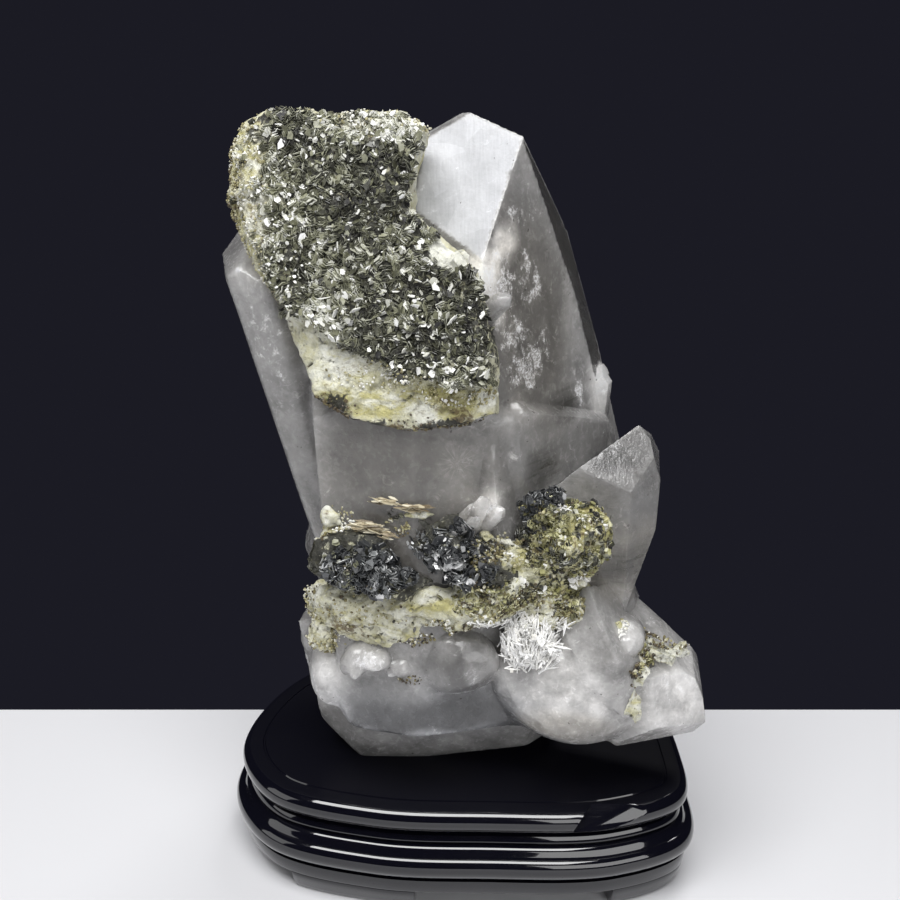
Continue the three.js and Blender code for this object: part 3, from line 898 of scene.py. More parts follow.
@dataclass(frozen=True)
class FloorFinish:
    """Pale matt board."""

    colour: Colour = (0.69, 0.69, 0.71)

    def made(self) -> bpy.types.Material:
        """Return the material."""
        s = Shader("board")
        fibre = s.clouds(0.002, 3.0)
        colour = s.mix((fibre * 0.06).clamped(), self.colour, (0.7, 0.7, 0.72))
        return s.finish(s.principled(Base_Color=colour, Roughness=0.75, Normal=s.bump(fibre, 0.00002)))


@dataclass(frozen=True)
class Zone:
    """A soft ellipsoid, in millimetres, in which a painted amount reaches a value."""

    centre: Triple
    radii: Triple
    value: float = 1.0
    core: float = 0.35

    def share(self, places: np.ndarray) -> np.ndarray:
        """Return 1 in the middle of the zone, falling to 0 at its edge."""
        reach = (places - place(*self.centre)) / (np.array(self.radii) * MM)
        return 1 - smoothstep(np.linalg.norm(reach, axis=1), self.core, 1.0)

    def blend(self, places: np.ndarray, amount: np.ndarray) -> np.ndarray:
        """Return the amount, changed to the zone's value inside it."""
        share = self.share(places)
        return amount * (1 - share) + self.value * share


def zones(*rows: Sequence[float]) -> tuple[Zone, ...]:
    """Return a zone for each row of its centre, its radii and, where they are given, its value and core."""
    return tuple(Zone(tuple(row[:3]), tuple(row[3:6]), *row[6:]) for row in rows)


def painted_amount(places: np.ndarray, base: float, zones: Sequence[Zone]) -> np.ndarray:
    """Return the amount at the places: the base, changed by each zone in turn.

    Args:
        places: Where, in metres.
        base: The amount outside all zones.
        zones: The zones.

    Returns:
        One amount a place.
    """
    amount = np.full(len(places), base)
    for zone in zones:
        amount = zone.blend(places, amount)
    return amount


@dataclass(frozen=True)
class SmallCrystal:
    """A small six-sided crystal: its foot and tip in millimetres and its radius."""

    foot: Triple
    tip: Triple
    radius: float
    shoulder: float = 0.68
    roll: float = 0.0
    flatness: float = 0.8

    def mesh(self, random: Chance) -> bpy.types.Mesh:
        """Return its closed mesh."""
        foot = place(*self.foot)
        tip = place(*self.tip)
        axis = unit(tip - foot)
        side = unit(np.cross(axis, [0.31, 0.2, 0.93]))
        other = np.cross(axis, side)
        turns = np.radians(self.roll + 60 * np.arange(6) + random.uniform(-9, 9, 6))
        reach = self.radius * MM * random.uniform(0.86, 1.1, 6)
        ring = np.cos(turns)[:, None] * side + np.sin(turns)[:, None] * other * self.flatness
        ring = ring * reach[:, None]
        high = foot + (tip - foot) * (self.shoulder + random.uniform(-0.06, 0.06, 6))[:, None]
        ridge = side * self.radius * MM * 0.12
        points = np.vstack([foot + ring * 1.05, high + ring, tip + ridge, tip - ridge])
        shape = bmesh.new()
        for point in points:
            shape.verts.new(point)
        bmesh.ops.convex_hull(shape, input=shape.verts)
        return mesh_of(shape, "small_crystal")


@dataclass(frozen=True)
class Blob:
    """A rounded lump, in millimetres, that is joined to a rock piece."""

    at: Triple
    radii: Triple

    def mesh(self, random: Chance) -> bpy.types.Mesh:
        """Return its closed mesh."""
        shape = bmesh.new()
        bmesh.ops.create_icosphere(shape, subdivisions=3, radius=1.0)
        unit_places = np.array([v.co for v in shape.verts])
        bulge = 1 + 0.16 * lattice_noise(unit_places, 0.8, int(random.integers(1, 90)))
        points = place(*self.at) + unit_places * bulge[:, None] * np.array(self.radii) * MM
        for vertex, point in zip(shape.verts, points):
            vertex.co = point
        return mesh_of(shape, "blob")


def combine(thing: Thing, meshes: Sequence[bpy.types.Mesh], operation: str) -> None:
    """Unite closed meshes with an object's mesh, or cut them from it.

    Args:
        thing: The object.
        meshes: The closed meshes.
        operation: UNION or DIFFERENCE.
    """
    helpers = []
    for mesh in meshes:
        helper = linked("helper", mesh)
        helpers.append(helper)
        step = thing.modifiers.new("step", "BOOLEAN")
        step.operation = operation
        step.solver = "EXACT"
        step.object = helper
    bpy.context.view_layer.update()
    apply_modifiers(thing)
    for helper in helpers:
        bpy.data.objects.remove(helper)


def grown(
    node: str,
    name: str,
    forms: Sequence[SmallCrystal | Blob],
    random: Chance,
    grid: Grid,
    size: float,
) -> Skin:
    """Return a new piece with a CAD node's form and small forms joined to it, under an even grid.

    Args:
        node: The CAD node.
        name: The new piece's name.
        forms: The small forms.
        random: Where chance comes from.
        grid: Whether edges stay sharp.
        size: Width of a grid cell, in metres.

    Returns:
        The new piece.
    """
    start = linked(f"{name}_start", frame["nodes"][node].data.copy())
    combine(start, [form.mesh(random) for form in forms], "UNION")
    skin = covered(start, name, grid, size)
    bpy.data.objects.remove(start)
    return skin


@dataclass
class QuartzCluster:
    """The grown-together quartz, its edges a little worn and its milky lumps rounded."""

    cell: float = 0.95 * MM
    kept: float = 0.62
    chips: int = 60
    chip_radius: tuple[float, float] = (0.9, 2.0)
    chip_depth: float = 0.35
    swell: float = 0.22 * MM
    lumpiness: float = 0.7 * MM
    sink: float = 0.1 * MM
    sharp_angle: float = 28.0
    tip_tone: float = 0.53
    small_crystals: tuple[SmallCrystal, ...] = (
        SmallCrystal((-27, -28, 96), (-35, -44.0, 86.5), 5.8, 0.5, 10, 0.9),
        SmallCrystal((-21, -30, 95), (-24, -44.0, 87), 4.6, 0.55, 30, 0.9),
        SmallCrystal((34, -26, 104), (47.5, -50.5, 77), 13.5, 0.6, 8, 0.95),
        SmallCrystal((-3, -38, 136), (5.4, -46.5, 147.5), 2.3, 0.6, 15),
        SmallCrystal((1, -38, 136), (8.6, -45.0, 146), 1.8, 0.6, 0),
        SmallCrystal((-1, -38, 134), (2.4, -47.5, 142.5), 2.1, 0.6, 25),
        SmallCrystal((-3, -39, 133), (-1.2, -48.0, 140.5), 2.2, 0.55, 40),
        SmallCrystal((-5, -40, 132), (-4.4, -47.5, 138), 1.8, 0.55, 10),
    )
    lumps: tuple[Blob, ...] = (
        Blob((-2.5, -36.5, 89.5), (12.5, 10.5, 12.0)),
        Blob((-31, -37.5, 91), (7.0, 6.5, 4.6)),
        Blob((-20, -40, 88.5), (4.0, 3.8, 3.4)),
        Blob((-42, -24, 78), (10, 12, 12)),
        Blob((47.0, -38.0, 98.5), (7.0, 4.6, 4.4)),
        Blob((-28, -41, 92), (4.5, 4.5, 3.4)),
        Blob((-35, -38, 88), (4.6, 4.4, 4.0)),
    )
    rounded: tuple[Zone, ...] = zones(
        (-14, -12, 50, 75, 70, 30, 0.22, 0.6), (-10, -38, 60, 60, 28, 18, 0.9, 0.6),
        (-44, -26, 76, 13, 18, 20, 0.3), (-31, -41, 90, 12, 10, 9, 0.05), (-2, -40, 88, 17, 12, 13, 0.1),
        (9, -37, 166, 9, 9, 14, 0.7), (36, -46, 86, 18, 12, 16, 0.3), (-60, -8, 165, 22, 40, 70, 0.25),
        (-52, 0, 110, 26, 40, 40, 0.3),
    )
    uneven: tuple[Zone, ...] = zones(
        (-31, -41, 90, 13, 10, 9, 1.0), (-44, -26, 76, 13, 18, 22, 0.5), (-8, -40, 90, 12, 10, 12, 0.5),
        (28, -44, 84, 28, 22, 24, 0.45), (60, -34, 86, 24, 24, 30, 0.4), (3, -44, 141, 9, 8, 9, 0.5),
        (-10, -38, 52, 60, 26, 20, 0.3),
    )
    bright: tuple[Zone, ...] = zones(
        (12, -18, 190, 30, 30, 50, 0.33), (20, -14, 215, 18, 20, 16, 0.34),
        (14, -18, 180, 24, 24, 36, 0.3), (1, -28, 206, 9, 12, 12, 0.95),
        (12, -18, 215, 8, 8, 7, 0.85, 0.6), (7, -25, 208, 6, 7, 6, 1.0, 0.6),
        (8, -24, 192, 7, 12, 14, 0.42), (31, 0, 196, 6, 7, 26, 0.5), (-24, -38, 152, 26, 20, 40, 0.25),
        (6, -36, 152, 20, 14, 26, 0.42), (12, -30, 166, 16, 14, 7, 0.5), (-56, -10, 165, 30, 40, 60, 0.4),
        (-62, -14, 204, 12, 16, 20, 0.56), (-62, -10, 120, 20, 40, 40, 0.4),
        (50, -20, 140, 22, 26, 40, 0.28), (38, -24, 152, 18, 10, 9, 0.14),
        (21, -28, 147, 11, 10, 9, 0.17), (50, -28, 112, 18, 16, 15, 0.15), (26, -14, 162, 18, 12, 4, 0.2),
        (42, 2, 165, 8, 12, 15, 0.95), (-17, -41, 127, 12, 8, 10, 0.3), (4, -42, 143, 8, 8, 9, 0.85),
        (-1, -46, 137, 6, 6, 7, 0.9), (9, -31, 197, 5, 9, 7, 0.9), (-10, -38, 62, 60, 26, 30, 0.09),
        # The zone round (-10, -38, 48) lightens the bottom band, which faces down, and the zone round (-47,
        # -24, 64) lightens the lower left, which faces down and to the left: painted light over their shade
        (-10, -38, 48, 62, 34, 19, 0.4, 0.75), (-44, -26, 76, 13, 18, 24, 0.74),
        (-47, -24, 64, 9, 18, 13, 0.85), (-31, -41, 90, 12, 9, 8, 0.44), (-20, -42, 89, 5, 6, 5, 0.5),
        (-2, -44, 88, 17, 12, 13, 0.19), (2, -47, 90, 5, 8, 9, 0.34), (-1, -43, 79, 12, 8, 2, 0.5),
        (28, -44, 84, 26, 22, 22, 0.62), (17, -45, 86, 8, 8, 9, 0.4), (30, -47, 72, 18, 12, 5, 0.4),
        (41, -34, 104, 18, 18, 14, 0.52), (62, -38, 78, 22, 20, 26, 0.64), (39, -47, 84, 6, 9, 14, 0.7),
        (47.5, -42, 99, 7, 8, 7, 0.76),
    )
    clearness: tuple[Zone, ...] = zones(
        (14, -16, 188, 26, 26, 48, 0.55), (-10, -38, 150, 50, 20, 40, 0.42),
        (-56, -10, 160, 28, 40, 80, 0.3), (50, -20, 135, 22, 26, 44, 0.4),
        (-17, -41, 127, 12, 8, 10, 0.55), (-10, -38, 60, 62, 30, 34, 0.04, 0.6),
        (-44, -26, 76, 13, 18, 22, 0.1), (-31, -41, 90, 12, 9, 9, 0.1), (-2, -42, 88, 16, 10, 13, 0.3),
        (28, -40, 84, 36, 30, 26, 0.12), (62, -38, 78, 24, 22, 28, 0.08), (5, -43, 143, 9, 9, 11, 0.0),
        (9, -31, 197, 5, 9, 7, 0.1), (1, -28, 206, 9, 12, 12, 0.05), (10, -20, 212, 9, 9, 8, 0.05, 0.6),
        (6, -25, 208, 6, 7, 7, 0.05, 0.6),
    )
    warmth: tuple[Zone, ...] = zones(
        (16, -16, 186, 26, 26, 50, 0.9), (-20, -38, 145, 40, 20, 40, 0.8),
        (50, -26, 118, 22, 20, 20, 1.0), (-17, -41, 127, 14, 8, 12, 1.0), (-10, -38, 60, 56, 26, 32, 0.0),
        (30, -47, 72, 22, 12, 7, 0.9),
    )
    veils: tuple[Zone, ...] = zones(
        (9, -24, 190, 13, 16, 28, 0.42), (9, -23, 205, 11, 11, 11, 0.75), (8, -25, 198, 7, 9, 7, 0.85),
        (17, -14, 201, 6, 7, 12, 0.72), (14, -13, 219, 9, 9, 7, 0.6), (11, -22, 188, 7, 9, 10, 0.7),
        (18, -20, 177, 6, 8, 13, 0.78), (12, -25, 178, 6, 6, 10, 0.7), (22, -14, 183, 4, 5, 10, 0.6),
        (34, -6, 164, 3, 5, 6, 0.75), (38, -24, 152, 20, 8, 7, 0.34), (-60, -17, 178, 9, 8, 34, 0.42),
        (-44, -24, 78, 12, 14, 18, 0.4), (30, -46, 80, 24, 10, 12, 0.3), (60, -42, 80, 18, 12, 16, 0.32),
        (-9, -42, 60, 8, 8, 12, 0.45), (2, -46, 90, 6, 8, 10, 0.5), (-31, -43, 91, 9, 6, 7, 0.65),
        (2, -43, 145, 8, 6, 8, 0.8),
    )
    streaks: tuple[Zone, ...] = zones(
        (23, -27, 148, 13, 10, 9, 0.75), (49, -28, 116, 15, 14, 12, 0.6),
        (30, -11, 163.5, 13, 9, 3.2, 0.55), (-22, -41, 137, 14, 6, 5, 0.35),
    )

    def build(self) -> None:
        """Make the skin and dress it."""
        random = np.random.default_rng(4)
        forms = (*self.small_crystals, *self.lumps)
        skin = grown("quartz_cluster", "quartz_skin", forms, random, Grid.SHARP, self.cell)
        self._wear(skin, random)
        self._thin_out(skin)
        self._paint(skin)
        skin.shade(self.sharp_angle)
        skin.mesh.materials.append(QuartzFinish().made())
        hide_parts("quartz_cluster")
        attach(skin.thing, "root")

    def _wear(self, skin: Skin, random: Chance) -> None:
        """Round the lumps, chip the edges and give the faces their faint unevenness.

        Args:
            skin: The quartz.
            random: Where chance comes from.
        """
        places = skin.places()
        round_share = painted_amount(places, 0.0, self.rounded)
        skin.smooth(0.65 * round_share, 60)
        skin.smooth(np.full(len(places), 0.35), 1)
        places = skin.places()
        edge = skin.bends()
        rims = np.flatnonzero(edge > 0.55)
        dents = np.zeros(len(places))
        for spot in places[random.choice(rims, self.chips, replace=False)]:
            radius = random.uniform(*self.chip_radius) * MM
            far = np.linalg.norm(places - spot, axis=1) / radius
            dents = np.maximum(dents, np.clip(1 - far, 0, 1) * radius * self.chip_depth)
        swell = lattice_noise(places, 16 * MM, 3) * self.swell
        lumpy = rough_noise(places, 7 * MM, 8, 4) * self.lumpiness * painted_amount(places, 0.0, self.uneven)
        skin.push(swell * (1 - edge) + lumpy - dents - self.sink)

    def _thin_out(self, skin: Skin) -> None:
        """Take corners away where the surface is flat."""
        thin = skin.thing.modifiers.new("thin", "DECIMATE")
        thin.ratio = self.kept
        apply_modifiers(skin.thing)

    def _paint(self, skin: Skin) -> None:
        """Paint how bright, clear, warm, veiled and streaked each place is, and its paler edges: partly worn
        edges and partly a painted highlight.
        """
        places = skin.places()
        normals = skin.normals()
        drift = np.stack([lattice_noise(places, 10 * MM, 5 + k) for k in range(3)], axis=1) * 2.6 * MM
        moved = places + drift
        tip = smoothstep(normals @ facing(-18, 38), 0.955, 0.985) * (places[:, 2] > 0.205)
        side = np.maximum(normals @ facing(72, 17), normals @ facing(64, 13))
        side = smoothstep(side, 0.975, 0.995) * (places[:, 2] > 0.165)
        tone = painted_amount(moved, 0.4, self.bright) * (1 - 0.7 * side)
        skin.paint("tone", tone * (1 - tip) + self.tip_tone * tip)
        clear = painted_amount(moved, 0.35, self.clearness)
        skin.paint("clear", (clear + 0.3 * side) * (1 - tip) + 0.06 * tip)
        skin.paint("warm", painted_amount(moved, 0.45, self.warmth) * (1 - tip))
        skin.paint("veil", np.maximum(painted_amount(moved, 0.0, self.veils), 0.12 * tip))
        skin.paint("streaks", painted_amount(moved, 0.0, self.streaks))
        skin.paint("tip", tip)
        # Paler outward edges, stronger high up: partly worn edges and partly a painted highlight
        high = smoothstep(places[:, 2], 0.19, 0.2)
        skin.paint("edge", smoothstep(skin.bends(), 0.3, 0.9) * (0.25 + 0.75 * high))


class Ground:
    """Points spread over the outsides of the solids, on which grains and flakes are set."""

    def __init__(self, nodes: Sequence[str], spacing: float, seed: int) -> None:
        """Spread the points.

        Args:
            nodes: The CAD nodes.
            spacing: About how far apart the points are, in metres.
            seed: Where chance starts.
        """
        random = np.random.default_rng(seed)
        places = []
        normals = []
        trees = []
        for node in nodes:
            mesh = frame["nodes"][node].data
            mesh.calc_loop_triangles()
            corners = np.array([v.co for v in mesh.vertices])
            faces = np.array([t.vertices[:] for t in mesh.loop_triangles])
            a, b, c = (corners[faces[:, k]] for k in range(3))
            cross = np.cross(b - a, c - a)
            area = np.linalg.norm(cross, axis=1)
            count = int(area.sum() / 2 / spacing**2)
            pick = random.choice(len(faces), count, p=area / area.sum())
            u = random.random((count, 1))
            v = random.random((count, 1))
            flip = (u + v) > 1
            u = np.where(flip, 1 - u, u)
            v = np.where(flip, 1 - v, v)
            places.append(a[pick] + u * (b - a)[pick] + v * (c - a)[pick])
            normals.append(unit(cross)[pick])
            trees.append(BVHTree.FromPolygons(corners.tolist(), faces.tolist()))
        self.places = np.concatenate(places)
        self.normals = np.concatenate(normals)
        self.trees = trees

    def inside(self, point: np.ndarray, outward: np.ndarray) -> bool:
        """Return whether the point lies inside a solid.

        Args:
            point: A place on a solid's outside.
            outward: The direction out of it.

        Returns:
            True where another solid covers it.
        """
        start = Vector(point + outward * 0.15 * MM)
        course = Vector(outward)
        for tree in self.trees:
            found = tree.ray_cast(start, course)
            if found[0] is not None and found[1].dot(course) > 0:
                return True
        return False

    def pick(self, zone: Zone, count: int, random: Chance) -> tuple[np.ndarray, np.ndarray]:
        """Return outer places in a zone and the outward directions there.

        Args:
            zone: The zone.
            count: How many, at most.
            random: Where chance comes from.

        Returns:
            The places and the directions, one a row.
        """
        share = zone.share(self.places)
        near = np.flatnonzero(share > 0.02)
        if len(near) == 0:
            return np.zeros((0, 3)), np.zeros((0, 3))
        wanted = min(int(count * 1.6) + 8, len(near))
        tried = random.choice(near, wanted, replace=False, p=share[near] / share[near].sum())
        kept = [i for i in tried if not self.inside(self.places[i], self.normals[i])][:count]
        return self.places[kept], self.normals[kept]


@dataclass(frozen=True)
class FlakeSize:
    """How wide and thick a flake is, in millimetres, and how long against its width."""

    least: float
    most: float
    thickness: float = 0.16
    stretch: float = 1.4
    gap: float = 0.6


@dataclass
class Bed:
    """Plates and grains of one mineral, joined in one mesh."""

    name: str
    finish: MineralFinish
    corners: int = 6

    def __post_init__(self) -> None:
        """Start with nothing in the bed."""
        self.places: list[np.ndarray] = []
        self.faces: list[list[int]] = []
        self.tones: list[np.ndarray] = []
        self.rims: list[float] = []
        self.count = 0

    def _take(
        self, rows: np.ndarray, pattern: Sequence[Sequence[int]], rims: Sequence[float], tones: np.ndarray
    ) -> None:
        """Add bodies that share one pattern of faces.

        Args:
            rows: Each body's corners.
            pattern: The corners of each face, counted from a body's first.
            rims: Each face's share of the rim's colour, the painted edge highlight.
            tones: Each body's tone.
        """
        size = rows.shape[1]
        for i in range(len(rows)):
            base = self.count + i * size
            self.faces.extend([[base + k for k in face] for face in pattern])
        self.rims.extend(list(rims) * len(rows))
        self.places.append(rows.reshape(-1, 3))
        self.tones.append(np.repeat(tones, size))
        self.count += len(rows) * size

    def add_plates(
        self,
        middles: np.ndarray,
        flats: np.ndarray,
        lengths: np.ndarray,
        widths: np.ndarray,
        heights: np.ndarray,
        thickness: float,
        tones: np.ndarray,
        random: Chance,
    ) -> None:
        """Add plates.

        Args:
            middles: Their middles.
            flats: The directions that their flat sides face.
            lengths: The directions of their long sides.
            widths: Half their lengths, in metres.
            heights: Half their widths, in metres.
            thickness: Their thickness, in metres.
            tones: The tone painted on each.
            random: Where chance comes from.
        """
        if len(middles) == 0:
            return
        flats = unit(flats)
        lengths = unit(lengths - (lengths * flats).sum(axis=1, keepdims=True) * flats)
        across = np.cross(flats, lengths)
        count = self.corners
        turn = np.linspace(0, 2 * math.pi, count, endpoint=False)[None, :]
        turn = turn + random.uniform(-0.25, 0.25, (len(middles), count))
        reach = random.uniform(0.6, 1.12, (len(middles), count))
        x = np.cos(turn) * reach * widths[:, None]
        y = np.sin(turn) * reach * heights[:, None]
        rim = middles[:, None] + x[..., None] * lengths[:, None] + y[..., None] * across[:, None]
        curl = (x / widths[:, None]) ** 2 * random.uniform(-0.12, 0.12, (len(middles), 1)) * widths[:, None]
        rim = rim + curl[..., None] * flats[:, None]
        half = flats[:, None] * thickness / 2
        top = list(range(count))
        bottom = list(range(2 * count - 1, count - 1, -1))
        sides = [[k, count + k, count + (k + 1) % count, (k + 1) % count] for k in range(count)]
        rows = np.concatenate([rim + half, rim - half], axis=1)
        # The side faces carry the rim colour: a painted highlight along each plate's edges
        self._take(rows, [top, bottom, *sides], [0.0, 0.0] + [1.0] * count, tones)

    def add_grains(self, middles: np.ndarray, sizes: np.ndarray, tones: np.ndarray, random: Chance) -> None:
        """Add angular grains.

        Args:
            middles: Their middles.
            sizes: Their widths, in metres.
            tones: The tone painted on each.
            random: Where chance comes from.
        """
        if len(middles) == 0:
            return
        shape = bmesh.new()
        bmesh.ops.create_icosphere(shape, subdivisions=1, radius=0.5)
        ball = np.array([v.co for v in shape.verts])
        pattern = [[v.index for v in face.verts] for face in shape.faces]
        shape.free()
        reach = random.uniform(0.65, 1.2, (len(middles), len(ball), 1))
        stretch = random.uniform(0.6, 1.3, (len(middles), 1, 3))
        rows = middles[:, None] + ball[None] * reach * stretch * sizes[:, None, None]
        self._take(rows, pattern, [0.0] * len(pattern), tones)

    def build(self) -> Skin:
        """Return the mesh of everything in the bed, dressed."""
        places = np.clip(np.concatenate(self.places), CAD_BOX[0], CAD_BOX[1])
        skin = Skin(mesh_object(self.name, places, self.faces))
        skin.paint("tone", np.concatenate(self.tones))
        skin.paint("rim", np.array(self.rims), "FACE")
        skin.mesh.materials.append(self.finish.made())
        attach(skin.thing, "root")
        return skin


def random_directions(count: int, random: Chance) -> np.ndarray:
    """Return directions spread over a ball."""
    return unit(random.normal(size=(count, 3)))


def add_books(
    bed: Bed,
    places: np.ndarray,
    outward: np.ndarray,
    size: FlakeSize,
    leaves: int,
    random: Chance,
    tones: np.ndarray,
    stand: float = 1.0,
    lean: Triple = (0.0, 0.0, 0.0),
) -> None:
    """Add books of mica: parallel leaves that stand out of a surface, fanned a little.

    Args:
        bed: Where the leaves go.
        places: Where the books sit.
        outward: The surface's directions there.
        size: How large the leaves are.
        leaves: How many a book has.
        random: Where chance comes from.
        tones: Each book's tone.
        stand: 1 for leaves that stand on edge, 0 for leaves that lie at any tilt.
        lean: A direction that their flat sides tend to face.
    """
    count = len(places)
    if count == 0:
        return
    side = unit(np.cross(outward, random_directions(count, random)))
    flats = unit(side + outward * random.normal(0, 0.45 + 0.7 * (1 - stand), (count, 1)) + np.array(lean))
    along = np.cross(flats, outward)
    half = random.uniform(size.least, size.most, count) * MM / 2
    for leaf in range(leaves):
        step = leaf - (leaves - 1) / 2
        shift = (step + random.uniform(-0.2, 0.2)) * size.gap * MM
        fan = flats + outward * 0.13 * step + random.normal(0, 0.07, (count, 3))
        shrink = random.uniform(0.65, 1.0, count)
        bed.add_plates(
            places + flats * shift + random.normal(0, 0.12 * MM, (count, 3)),
            fan,
            along,
            half * size.stretch * shrink,
            half * shrink,
            size.thickness * MM,
            np.clip(tones + random.normal(0, 0.1, count), 0, 1),
            random,
        )


@dataclass(frozen=True)
class RockPaint:
    """Where a rock piece is white, mossy, brown or dark."""

    white: tuple[Zone, ...] = ()
    moss: tuple[Zone, ...] = ()
    brown: tuple[Zone, ...] = ()
    dark: tuple[Zone, ...] = ()
    base: tuple[float, float, float, float] = (0.35, 0.2, 0.2, 0.1)


def dress_rock(
    rock: Skin,
    material: bpy.types.Material,
    paint: RockPaint,
    node: str,
    relief: float,
    seed: int,
    sink: float = 0.0,
) -> None:
    """Roughen a rock piece, paint it and dress it.

    Args:
        rock: The piece.
        material: Its material.
        paint: Where its colours are.
        node: The CAD node that it stands for.
        relief: How deep its unevenness is, in metres.
        seed: Which unevenness.
        sink: How far the whole surface lies inside the solid, in metres.
    """
    places = rock.places()
    coarse = rough_noise(places, 9 * MM, seed, 3)
    fine = rough_noise(places, 2.6 * MM, seed + 20, 3)
    crack = smoothstep(-np.abs(rough_noise(places, 15 * MM, seed + 40, 3)), -0.022, 0.0)
    height = 0.6 * coarse + 0.5 * fine - 1.1 * crack
    rock.push(relief * (height - 0.5) - sink)
    drift = np.stack([lattice_noise(places, 7 * MM, seed + k) for k in range(3)], axis=1) * 1.8 * MM
    for base, name in zip(paint.base, ("white", "moss", "brown", "dark")):
        rock.paint(name, painted_amount(places + drift, base, getattr(paint, name)))
    # Painted shade in the hollows of the relief and along its cracks
    rock.paint("hollow", np.clip(smoothstep(-fine, 0.45, 1.0) * 0.5 + crack * 0.7, 0, 1))
    rock.shade(60)
    rock.mesh.materials.append(material)
    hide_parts(node)
    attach(rock.thing, "root")


